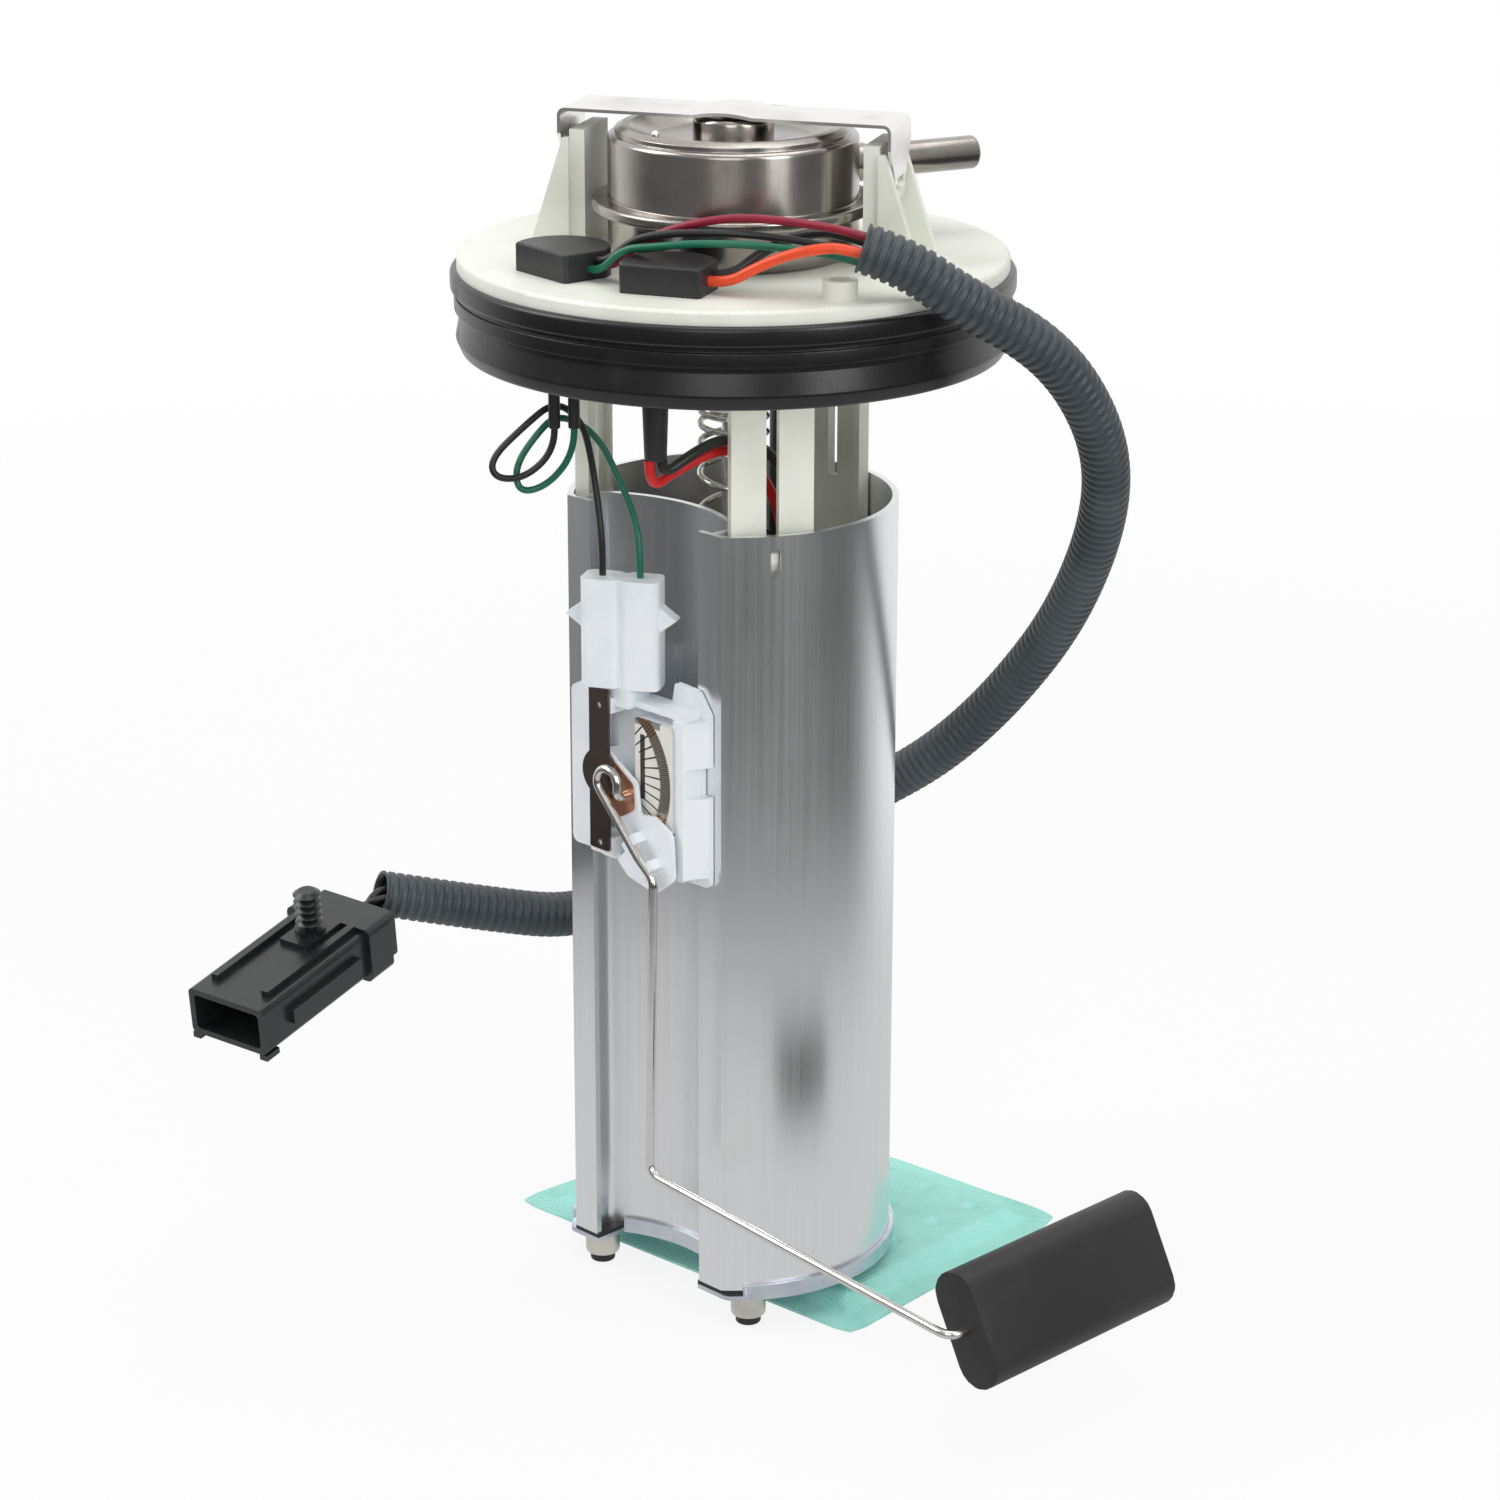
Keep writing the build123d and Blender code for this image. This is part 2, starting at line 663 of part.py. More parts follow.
def check_valve():
    """The mushroom valve in the floor of the cap."""
    flap = disc(VALVE_RADIUS, CAP_TOP, CAP_TOP + 1.2, VALVE_PLACE)
    return flap + disc(VALVE_STEM, CAP_LOW - 1.5, CAP_TOP, VALVE_PLACE)


# Pump and its carrier


def pump_carrier():
    """The carrier plate with rod hub and pump sleeve."""
    low = CARRIER_TOP - 3
    shape = standing(chamber(SOCKET_GAP), low, CARRIER_TOP)
    hub_foot = CARRIER_TOP - 14
    shape += disc(6.5, hub_foot, CARRIER_TOP)
    shape += ring(SLEEVE_RADIUS, SLEEVE_RADIUS - SLEEVE_WALL, PUMP_TOP - 25, low, PUMP_PLACE)
    shape += block((-2, 2), (-9.5, -5), (hub_foot, low))
    shape -= disc(ROD_RADIUS + RUNNING, hub_foot, CARRIER_TOP)
    shape -= disc(CLIP_RADIUS + STOP_GAP, ROD_FOOT - TRAVEL - 1, hub_foot)
    shape -= disc(HOSE_BORE + HOSE_WALL + 0.6, low, CARRIER_TOP, HOSE_PLACE)
    shape -= standing(Pos(13.8, 3.6) * Rot(0, 0, 17) * SlotCenterToCenter(3.6, 3.6), low, CARRIER_TOP)
    return shape


def pump_isolator():
    """The rubber ring between pump and sleeve."""
    return ring(PUMP_RADIUS + ISOLATOR_WALL, PUMP_RADIUS, PUMP_TOP - 22, PUMP_TOP - 10, PUMP_PLACE)


def pump_body():
    """The steel shell of the pump."""
    return ring(PUMP_RADIUS, PUMP_RADIUS - PUMP_SHELL, PUMP_FOOT + PUMP_CAP, PUMP_TOP - PUMP_CAP, PUMP_PLACE)


def pump_top_cap():
    """The outlet end of the pump with its hose nipple."""
    seat = PUMP_TOP - PUMP_CAP
    shape = disc(PUMP_RADIUS, seat, PUMP_TOP, PUMP_PLACE)
    shape = fillet(shape.edges().group_by(Axis.Z)[-1], 1.5)
    shape += disc(PUMP_RADIUS - PUMP_SHELL, seat - 4, seat, PUMP_PLACE)
    shape += disc(HOSE_BORE, PUMP_TOP, NIPPLE_TOP, HOSE_PLACE)
    return shape - disc(HOSE_BORE - 1.5, seat - 4, NIPPLE_TOP, HOSE_PLACE)


def pump_base_cap():
    """The inlet end of the pump."""
    seat = PUMP_FOOT + PUMP_CAP
    shape = disc(PUMP_RADIUS, PUMP_FOOT, seat, PUMP_PLACE)
    shape = fillet(shape.edges().group_by(Axis.Z)[0], 1.5)
    shape += disc(PUMP_RADIUS - PUMP_SHELL, seat, seat + 4, PUMP_PLACE)
    return shape - disc(PUMP_PORT, PUMP_FOOT, seat + 4, PUMP_PLACE)


def pump_plug():
    """The plug on the pump's terminals."""
    x, y = PUMP_PLACE
    shape = block((x + 5, x + 17), (y - 9.5, y - 2), (PUMP_TOP, PUMP_PLUG_TOP))
    return fillet(shape.edges().filter_by(Axis.Z), 1)


def outlet_hose():
    """The hose from the pump to the flange."""
    return ring(HOSE_BORE + HOSE_WALL, HOSE_BORE, HOSE_FOOT, HOSE_TOP, HOSE_PLACE)


def hose_clamp(high):
    """A worm clamp round the hose."""
    x, y = HOSE_PLACE
    band = HOSE_BORE + HOSE_WALL
    low = high - CLAMP_WIDTH
    screw_box = block((x + band + 0.6, x + band + 4), (y - 2, y + 2), (low + 0.5, high - 0.5))
    return ring(band + 0.9, band, low, high, HOSE_PLACE) + screw_box


# Level sender


def rail():
    """The ridge on the right of the sender, seen from above."""
    return Polyline((18.5, -33), (18.5, -39), (22, -39), (25.2, -33), close=True)


def hook():
    """One hook that grips behind a lip of the tube, seen from above."""
    on_line = (Align.CENTER, Align.MIN)
    inner = FLAT_Y + TUBE_WALL + STOP_GAP
    web = Pos(OPENING_HALF - STOP_GAP - 1.6, BRACKET_BACK) * Rectangle(3.2, 4.4, align=on_line)
    return web + Pos(OPENING_HALF - 1.5, inner) * Rectangle(8, 1.6, align=on_line)


def sender_bracket():
    """The white moulding of the sender: back plate, tray, pivot post and strap posts."""
    plate = rounded(
        [
            (-25.2, -150, 2),
            (25.2, -150, 1.5),
            (25.2, -104.6, 1),
            (21, -99, 2),
            (13, -98.5, 1),
            (12, -104, 0),
            (-18, -104, 0),
            (-25.2, -108, 2),
        ]
    )
    shape = facing(plate, BRACKET_BACK, -33)
    shape -= block((22.6, 26), (-34, -31), (-126, -118))
    tray = facing(rounded([(-10, -148, 3), (22, -148, 1), (22, -104, 1), (-10, -104, 3)]), -33, TRAY_FRONT)
    hollow = rounded([(-8.4, -146.4, 2), (18.5, -146.4, 1), (18.5, -105.6, 1), (-8.4, -105.6, 2)])
    shape += tray - facing(hollow, TRAY_FLOOR, TRAY_FRONT)
    ridge = standing(make_face(rail()), -147, -106)
    shape += ridge - block((22.2, 26), (-42, -31), (-126, -118))
    shape += facing(pivot_disc(5.5), TRAY_FLOOR, LEVER_BACK + 1.2)
    for low, high in ((-108, -104), (-146, -141)):
        shape += block((-9, -1), (STRAP_BACK, -33), (low, high))
    card_back = CARD_FRONT + CARD_THICK
    ledge = block((5, 18.4), (card_back, TRAY_FLOOR), (-136, -108))
    shape += ledge - block((7, 17), (card_back, TRAY_FLOOR), (-134, -110))
    shape += block((-5, 4), (-40.5, -33), (-106, PLUG_FOOT))
    shape -= block((18.4, 20.2), (CARD_FRONT, card_back), (-136.2, -107.8))
    grip = standing(hook() + mirror(hook(), Plane.YZ), -146, -108)
    grip -= block((-30, 30), (-31, -27), (-138, -116))
    shape += grip
    shape -= facing(pivot_disc(AXLE_RADIUS + RUNNING), BRACKET_BACK - 1.6, LEVER_BACK)
    return shape


def sender_plug():
    """The two-lobed plug on top of the sender, with its side wings."""
    lobe = RectangleRounded(9.8, 9, 2.2)
    outline = Pos(-5.2, 0) * lobe + Pos(5.2, 0) * lobe + Rectangle(6, 7)
    shape = standing(outline, PLUG_FOOT, PLUG_TOP)
    wing = Polyline((-9, -79), (-14.3, -83), (-9, -87), (9, -87), (14.3, -83), (9, -79), close=True)
    shape += extrude(Plane.XZ.offset(-2) * make_face(wing), 4)
    return PLUG_PLACE * shape


def resistor_card():
    """The ceramic card with its curved comb track."""
    card = rounded([(5, -136, 0.5), (18.2, -136, 0.5), (18.2, -108, 0.5), (5, -108, 0.5)])
    bends = [ray(angle, TRACK_RADIUS) for angle in (TRACK_LOW, (TRACK_LOW + TRACK_HIGH) / 2, TRACK_HIGH)]
    track = trace(ThreePointArc(*bends), 2 * TRACK_HALF)
    shape = facing(card, CARD_FRONT + CARD_THICK, CARD_FRONT)
    return shape + facing(track, CARD_FRONT, CARD_FRONT - TRACK_THICK)


def contact_strap():
    """The thin contact strap over the pivot."""
    strip = rounded([(-8.5, -144.7, 0.6), (-1.5, -144.7, 0.6), (-1.5, -102, 0.6), (-8.5, -102, 0.6)])
    strip += pivot_disc(6.2)
    for height in (-106.5, -143):
        strip -= Pos(-5, height) * Circle(0.9)
    return facing(strip, STRAP_BACK, STRAP_FRONT)


def float_arm():
    """The bent steel wire that carries the float."""
    path = FilletPolyline(*ARM_POINTS, radius=ARM_BENDS)
    return along(path, Circle(ARM_RADIUS))


def arm_holder():
    """The lever on the pivot that grips the arm wire."""
    outline = rounded(
        [
            (-9.5, -129, 1.5),
            (1, -136.5, 1),
            (4.5, -142, 1),
            (0.6, -146.6, 0.6),
            (4.3, -149.8, 1.5),
            (14.3, -152.1, 3),
            (20.9, -146.9, 3),
            (20.2, -135, 3),
            (14, -131.8, 2),
            (8.6, -132.4, 1),
            (7.4, -124.5, 2),
            (-2, -119, 2),
        ]
    )
    outline += pivot_disc(6.5)
    shape = facing(outline, LEVER_BACK, LEVER_FRONT)
    shape += facing(pivot_disc(AXLE_RADIUS), TRAY_FLOOR - 0.1, LEVER_BACK)
    for x, z in ((8.4, -139.2), (14.2, -144.8)):
        clip = Box(5.4, 3.4, 2.6, align=(Align.CENTER, Align.MAX, Align.CENTER))
        shape += Pos(x, LEVER_FRONT, z) * Rot(0, -43, 0) * clip
    shape -= float_arm()
    return shape - wiper_rivet()


def wiper_rivet():
    """The rivet that joins the two faces of the wiper."""
    return facing(Pos(*ray(-52, 9.2)) * Circle(0.8), LEVER_BACK, LEVER_FRONT)


def wiper():
    """The copper wiper: a front ring by the pivot and a back finger on the track."""
    tip = ray(REST_ANGLE, TRACK_RADIUS)
    finger = trace(Polyline(ray(-52, 7.5), ray(-45, 16), tip), 2.4)
    shape = facing(finger, LEVER_BACK + 0.3, LEVER_BACK)
    shape += facing(Pos(*tip) * Circle(0.8), CARD_FRONT - TRACK_THICK - RUNNING, LEVER_BACK + 0.3)
    plate = rounded([(-7, -130.6, 2), (2, -134.6, 2), (7.2, -131.5, 2), (6.8, -125, 2), (-1, -119.8, 2)])
    plate -= pivot_disc(3.4)
    shape += facing(plate, LEVER_FRONT, LEVER_FRONT - 0.25)
    return shape + wiper_rivet() - float_arm()


def float_block():
    """The float, turning freely on the end of the arm."""
    outline = Rot(0, 0, FLOAT_TILT) * SlotCenterToCenter(FLOAT_LONG - FLOAT_THICK, FLOAT_THICK)
    shape = facing(Pos(*FLOAT_CENTRE) * outline, FLOAT_FAR, FLOAT_NEAR)
    ends = shape.edges().group_by(Axis.Y)
    shape = fillet(ends[0] + ends[-1], 1)
    bore = Pos(*FLOAT_CENTRE) * Circle(ARM_RADIUS + RUNNING)
    return shape - facing(bore, FLOAT_FAR, FLOAT_NEAR)


def float_clip():
    """The push nut that keeps the float on the arm."""
    nut = Pos(*FLOAT_CENTRE) * (Circle(3) - Circle(ARM_RADIUS))
    return facing(nut, FLOAT_FAR + 1.1, FLOAT_FAR + 0.3)


# Leads between flange and reservoir


def pump_lead_black():
    """The black pump lead, from the grommet through the carrier to the pump plug."""
    points = [
        (20.4, -44.1, -38),
        (20.4, -44.1, -42.2),
        (22.6, -36.2, -37.6),
        (23.2, -27.5, -35.4),
        (24.6, -17.5, -36.9),
        (27.2, -8.5, -45.5),
        (26.0, -2.4, -60),
        (22.5, 0.8, -77),
        (17.2, 3.4, -94),
        (15.3, 4.2, -110),
        (13.0, 6.0, -130),
        (13.0, 6.0, PUMP_PLUG_TOP),
    ]
    return cord("pump_lead_black", points, 1.3)


def pump_lead_red():
    """The red pump lead, beside the black one."""
    points = [
        (18.8, -46.7, -38),
        (18.8, -46.7, -45.2),
        (18.9, -39.2, -42.6),
        (20.9, -27.2, -38.6),
        (21.9, -18.4, -40.1),
        (23.9, -10.5, -50.3),
        (22.9, -5.0, -63),
        (18.9, -1.2, -79),
        (14.4, 1.8, -95),
        (12.1, 3.1, -110),
        (9.5, 6.0, -130),
        (9.5, 6.0, PUMP_PLUG_TOP),
    ]
    return cord("pump_lead_red", points, 1.3)


def sender_lead_black():
    """The black sender lead with its loop."""
    points = [
        (-11.2, -50.2, -35),
        (-11.2, -50.2, -40.5),
        (-15.2, -56.4, -47.2),
        (-19.4, -62.6, -47.0),
        (-20.6, -63.0, -42.2),
        (-17.2, -55.0, -34.8),
        (-14.2, -47.2, -29.0),
        (-10.2, -42.0, -34.2),
        (-9.8, -39.4, -44.0),
        (-7.2, -39.6, -56.0),
        (-5.1, -40.3, -65.0),
        (-5.1, -40.3, PLUG_TOP),
    ]
    return cord("sender_lead_black", points, 0.85)


def sender_lead_green():
    """The green sender lead with its loop."""
    points = [
        (-7.8, -46.8, -35),
        (-7.8, -46.8, -41),
        (-12.6, -51.0, -49.4),
        (-17.2, -56.8, -51.4),
        (-18.8, -56.6, -45.0),
        (-17.0, -51.8, -38.0),
        (-14.8, -45.8, -32.4),
        (-10.9, -36.6, -38.6),
        (-6.4, -33.4, -49.5),
        (-0.4, -33.6, -58.5),
        (3.2, -35.3, -65.5),
        (3.2, -35.3, PLUG_TOP),
    ]
    return cord("sender_lead_green", points, 0.85)


# Harness


def conduit():
    """The corrugated tube of the harness."""
    path = route("conduit", CONDUIT_POINTS)
    return along(path, Circle(CONDUIT_RADIUS)) - along(path, Circle(CONDUIT_BORE))


def end_frame(end, inner, axis=(0, 0, 1)):
    """A frame at an open end of the conduit, its Z pointing into the conduit."""
    inward = Vector(*inner) - Vector(*end)
    return Plane(origin=end, x_dir=Vector(*axis).cross(inward), z_dir=inward)


def harness_wire(name, place, points, radius):
    """One wire from a block into the upper mouth of the conduit."""
    mouth = end_frame(CONDUIT_POINTS[0], CONDUIT_POINTS[1])
    across, up = place
    entry = mouth.from_local_coords((across, up, -3.5))
    end = mouth.from_local_coords((across, up, 8.5))
    return cord(name, [*points, tuple(entry), tuple(end)], radius)


def wire_maroon():
    """The maroon wire of the sender block."""
    points = [
        (1.25, -44.8, 6.8),
        (5.2, -45.2, 6.8),
        (11.6, -42.2, 13.6),
        (21.4, -37.3, 18.4),
        (33.2, -31.0, 21.1),
        (46.5, -24.5, 20.8),
    ]
    return harness_wire("wire_maroon", (0.0, 2.9), points, 1.05)


def wire_green():
    """The green wire of the sender block."""
    points = [
        (0.82, -48.9, 6.2),
        (4.8, -49.3, 6.2),
        (10.4, -47.2, 12.4),
        (18.5, -44.2, 13.6),
        (29.0, -39.0, 15.4),
        (41.2, -28.6, 15.0),
    ]
    return harness_wire("wire_green", (0.1, -3.3), points, 0.95)


def wire_black_signal():
    """The thin black wire of the sender block."""
    points = [
        (1.03, -46.9, 8.2),
        (5.0, -47.3, 8.2),
        (11.0, -44.9, 14.2),
        (17.6, -41.8, 16.2),
        (27.9, -36.3, 17.4),
        (40.3, -26.2, 16.8),
    ]
    return harness_wire("wire_black_signal", (2.4, -2.2), points, 0.95)


def wire_red():
    """The orange-red supply wire of the pump block."""
    points = [
        (31.5, -38.9, 6.6),
        (36.0, -36.7, 6.6),
        (41.8, -34.6, 10.4),
        (49.0, -31.4, 14.2),
        (56.0, -27.8, 16.4),
    ]
    return harness_wire("wire_red", (-2.6, -0.6), points, 1.3)


def wire_black_power():
    """The thick black wire of the pump block."""
    points = [
        (29.9, -35.6, 7.4),
        (33.9, -33.6, 7.4),
        (37.5, -28.6, 12.4),
        (41.9, -23.0, 16.0),
        (49.0, -19.4, 18.2),
    ]
    return harness_wire("wire_black_power", (2.6, 1.2), points, 1.3)


def harness_connector():
    """The two-row plug housing at the end of the harness."""
    half = CONNECTOR_WIDTH / 2
    deep = CONNECTOR_HEIGHT / 2
    shape = extrude(RectangleRounded(CONNECTOR_WIDTH, CONNECTOR_HEIGHT, 1.5), CONNECTOR_LENGTH)
    shape += Pos(0, 0, 42) * extrude(RectangleRounded(CONNECTOR_WIDTH + 3, CONNECTOR_HEIGHT + 2.4, 2), 9)
    for side in (-1, 1):
        shape += block((side * 8 - 1, side * 8 + 1), (deep, deep + 1.6), (6, 42))
        shape += block((side * (half - 1.2) - 1.2, side * (half - 1.2) + 1.2), (-deep - 1.6, -deep), (0, 5))
        shape += block((side * (half + 0.7) - 0.9, side * (half + 0.7) + 0.9), (-2, 2), (10, 38))
    shape += block((-4.5, 4.5), (deep, deep + 1.4), (28, 42))
    mouth = RectangleRounded(CONNECTOR_WIDTH - 2 * SHELL, CONNECTOR_HEIGHT - 2 * SHELL, 1)
    pocket = RectangleRounded(CONNECTOR_WIDTH - 5, CONNECTOR_HEIGHT - 4, 1)
    shape -= extrude(mouth, MOUTH_DEPTH)
    shape -= Pos(0, 0, CONNECTOR_LENGTH - POCKET_DEPTH) * extrude(pocket, POCKET_DEPTH)
    return CONNECTOR * shape


def connector_terminals():
    """The blades inside the connector."""
    blade = Box(1.6, 0.8, 10, align=UPRIGHT)
    places = [(x, y) for x in (-6.6, -2.2, 2.2, 6.6) for y in (-2, 2)]
    return Compound(children=[CONNECTOR * Pos(x, y, MOUTH_DEPTH - 10) * blade for x, y in places])


def connector_clip():
    """The fir-tree clip on top of the connector."""
    base = CONNECTOR_HEIGHT / 2 + 1.4
    stem = Cylinder(1.6, 12, align=UPRIGHT)
    for level in range(5):
        stem += Pos(0, 0, 3 + 2 * level) * Cone(3.6, 2.2, 1, align=UPRIGHT)
    plate = Cylinder(4, 1.2, align=UPRIGHT)
    return CONNECTOR * Pos(0, base, 35) * Rot(-90, 0, 0) * (stem + plate)


def connector_wires():
    """The wires from the conduit into the back of the connector."""
    outlet = end_frame(CONDUIT_POINTS[-1], CONDUIT_POINTS[-2])
    wires = []
    for across, up in ((-2.6, 0), (0, 1.4), (2.6, 0), (0, -1.8)):
        points = [
            tuple(outlet.from_local_coords((across, up, 9))),
            tuple(outlet.from_local_coords((across, up, -1))),
            tuple(CONNECTOR.from_local_coords((-across * 1.6, up, CONNECTOR_LENGTH + 1))),
            tuple(CONNECTOR.from_local_coords((-across * 1.6, up, CONNECTOR_LENGTH - POCKET_DEPTH))),
        ]
        wires.append(cord("connector_wires", points, 1.0))
    return Compound(children=wires)


PIECES = {
    "flange_plate": flange_plate,
    "tank_seal": tank_seal,
    "filter_can": filter_can,
    "can_ball": can_ball,
    "filter_element": filter_element,
    "pressure_regulator": pressure_regulator,
    "outlet_pipe": outlet_pipe,
    "retaining_strap": retaining_strap,
    "pump_wire_block": lambda: wire_block((22, -43), -64),
    "sender_wire_block": lambda: wire_block((-9.5, -48.5), -96),
    "pump_grommet": pump_grommet,
    "sender_grommets": sender_grommets,
    "leg_right": lambda: leg(LEG_ANGLES["right"]),
    "leg_left": lambda: leg(LEG_ANGLES["left"]),
    "leg_rear": lambda: leg(LEG_ANGLES["rear"]),
    "guide_rod": guide_rod,
    "rod_clip": rod_clip,
    "coil_spring": coil_spring,
    "hose_clamp_upper": lambda: hose_clamp(HOSE_TOP - 5),
    "hose_clamp_lower": lambda: hose_clamp(HOSE_FOOT + 11),
    "outlet_hose": outlet_hose,
    "reservoir_tube": reservoir_tube,
    "base_gasket": base_gasket,
    "base_cap": base_cap,
    "cap_feet": cap_feet,
    "foot_tips": foot_tips,
    "strainer_sock": strainer_sock,
    "strainer_neck": strainer_neck,
    "check_valve": check_valve,
    "pump_carrier": pump_carrier,
    "pump_isolator": pump_isolator,
    "pump_body": pump_body,
    "pump_top_cap": pump_top_cap,
    "pump_base_cap": pump_base_cap,
    "pump_plug": pump_plug,
    "sender_bracket": sender_bracket,
    "sender_plug": sender_plug,
    "resistor_card": resistor_card,
    "contact_strap": contact_strap,
    "float_arm": float_arm,
    "arm_holder": arm_holder,
    "wiper": wiper,
    "float_block": float_block,
    "float_clip": float_clip,
    "pump_lead_black": pump_lead_black,
    "pump_lead_red": pump_lead_red,
    "sender_lead_black": sender_lead_black,
    "sender_lead_green": sender_lead_green,
    "conduit": conduit,
    "wire_maroon": wire_maroon,
    "wire_green": wire_green,
    "wire_black_signal": wire_black_signal,
    "wire_red": wire_red,
    "wire_black_power": wire_black_power,
    "harness_connector": harness_connector,
    "connector_terminals": connector_terminals,
    "connector_clip": connector_clip,
    "connector_wires": connector_wires,
}

for name, make in PIECES.items():
    shape = make()
    print(name, "solids", len(shape.solids()), "volume", round(shape.volume, 1))
    export_step(shape, f"parts/{name}.step")
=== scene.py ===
"""Looks of the fuel pump module, in metres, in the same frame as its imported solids."""

import json
import math

import bmesh
import bpy
from mathutils import Matrix, Vector, noise


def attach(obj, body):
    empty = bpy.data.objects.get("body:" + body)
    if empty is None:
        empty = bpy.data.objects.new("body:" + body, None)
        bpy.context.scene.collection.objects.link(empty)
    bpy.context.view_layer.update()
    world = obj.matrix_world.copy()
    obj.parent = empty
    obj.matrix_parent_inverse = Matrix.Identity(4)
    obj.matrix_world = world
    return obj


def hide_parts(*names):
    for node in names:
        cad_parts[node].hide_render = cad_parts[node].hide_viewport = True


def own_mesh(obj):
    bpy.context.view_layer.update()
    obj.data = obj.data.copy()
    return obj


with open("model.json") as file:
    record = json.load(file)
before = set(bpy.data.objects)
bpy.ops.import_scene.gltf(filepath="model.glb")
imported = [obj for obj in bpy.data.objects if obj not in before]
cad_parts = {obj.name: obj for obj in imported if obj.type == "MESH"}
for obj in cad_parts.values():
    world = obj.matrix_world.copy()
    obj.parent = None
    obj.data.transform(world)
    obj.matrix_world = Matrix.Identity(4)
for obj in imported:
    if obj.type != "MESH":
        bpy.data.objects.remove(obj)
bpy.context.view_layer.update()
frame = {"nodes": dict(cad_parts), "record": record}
MM = 0.001

# Sizes that several pieces share, in millimetres
FLOOR = -270.9
TUBE_TOP, TUBE_FOOT = -58.6, -260.6
TUBE_RADIUS, TUBE_WALL = 41.8, 1.6
FLAT_Y, RECESS_Y, RECESS_RADIUS = -31.3, -55.3, 39.6
PIVOT = (-4.9, -124.4)
FLOAT_CENTRE = (119.8, -236.3)
PIPE_ANGLE, PIPE_HEIGHT = 71.9, 22.5
SLOT_ANGLES = (-30, 90, 210)

# The share of its height that a lead keeps when the reservoir is all the way up
PUMP_LEAD_KEEPS, SENDER_LEAD_KEEPS = 78 / 103, 13 / 38


# Shading


class Value:
    """A number in a shader; arithmetic on it adds the Math nodes."""

    def __init__(self, finish, socket):
        self.finish = finish
        self.socket = socket

    def math(self, operation, first, second=0.0):
        made = self.finish.node("ShaderNodeMath", {"operation": operation}, {0: first, 1: second})
        return Value(self.finish, made.outputs[0])

    def __add__(self, other):
        return self.math("ADD", self, other)

    def __radd__(self, other):
        return self.math("ADD", other, self)

    def __sub__(self, other):
        return self.math("SUBTRACT", self, other)

    def __rsub__(self, other):
        return self.math("SUBTRACT", other, self)

    def __mul__(self, other):
        return self.math("MULTIPLY", self, other)

    def __rmul__(self, other):
        return self.math("MULTIPLY", other, self)

    def __gt__(self, other):
        return self.math("GREATER_THAN", self, other)

    def __lt__(self, other):
        return self.math("LESS_THAN", self, other)

    def sine(self):
        return self.math("SINE", self)

    def size(self):
        return self.math("ABSOLUTE", self)

    def root(self):
        return self.math("SQRT", self)

    def angle(self, across):
        """The angle of the point (across, self) round the origin."""
        return self.math("ARCTAN2", self, across)

    def between(self, low, high):
        """0 below low, 1 above high, and smooth in between."""
        settings = {"interpolation_type": "SMOOTHSTEP"}
        made = self.finish.node("ShaderNodeMapRange", settings, {0: self, 1: low, 2: high})
        return Value(self.finish, made.outputs[0])


class Finish:
    """A material with one surface shader, which its maker tints and roughens."""

    def __init__(self, name, colour, roughness, metallic=0.0, constants=None):
        self.material = bpy.data.materials.new(name)
        self.material.use_nodes = True
        self.tree = self.material.node_tree
        self.surface = self.tree.nodes["Principled BSDF"].inputs
        self.base = (*colour, 1)
        self.place = self.node("ShaderNodeTexCoord").outputs["Object"]
        self.feed(self.surface["Base Color"], self.base)
        self.feed(self.surface["Roughness"], roughness)
        self.feed(self.surface["Metallic"], metallic)
        for socket, number in (constants or {}).items():
            self.feed(self.surface[socket], number)

    def feed(self, socket, given):
        if isinstance(given, Value):
            given = given.socket
        if isinstance(given, bpy.types.NodeSocket):
            self.tree.links.new(given, socket)
        else:
            socket.default_value = given

    def node(self, kind, settings=None, sockets=None):
        made = self.tree.nodes.new(kind)
        for setting, choice in (settings or {}).items():
            setattr(made, setting, choice)
        for socket, given in (sockets or {}).items():
            self.feed(made.inputs[socket], given)
        return made

    def grain(self, scale, detail=3.0, stretch=(1, 1, 1)):
        """Cloudy noise about 0.5, with features of one metre over scale."""
        spot = self.node("ShaderNodeMapping", {}, {"Vector": self.place, "Scale": stretch})
        sockets = {"Vector": spot.outputs[0], "Scale": scale, "Detail": detail}
        return Value(self, self.node("ShaderNodeTexNoise", {}, sockets).outputs[0])

    def along(self, axis):
        """One of the three coordinates of a point, in metres."""
        parts = self.node("ShaderNodeSeparateXYZ", {}, {0: self.place})
        return Value(self, parts.outputs[axis])

    def tint(self, mask, colour):
        """Lays a colour over the base where the mask is 1."""
        mixed = self.node("ShaderNodeMix", {"data_type": "RGBA"}, {0: mask, 6: self.base, 7: (*colour, 1)})
        self.base = mixed.outputs[2]
        self.feed(self.surface["Base Color"], self.base)

    def roughen(self, value):
        self.feed(self.surface["Roughness"], value)

    def relief(self, height, depth):
        """Bumps: a height of 0 to 1 stands for a depth in metres."""
        bump = self.node("ShaderNodeBump", {}, {"Strength": 1.0, "Distance": depth, "Height": height})
        self.feed(self.surface["Normal"], bump.outputs[0])


def screen(red, green, blue):
    """A colour from its screen numbers, 0 to 255."""
    return tuple((part / 255) ** 2.2 for part in (red, green, blue))


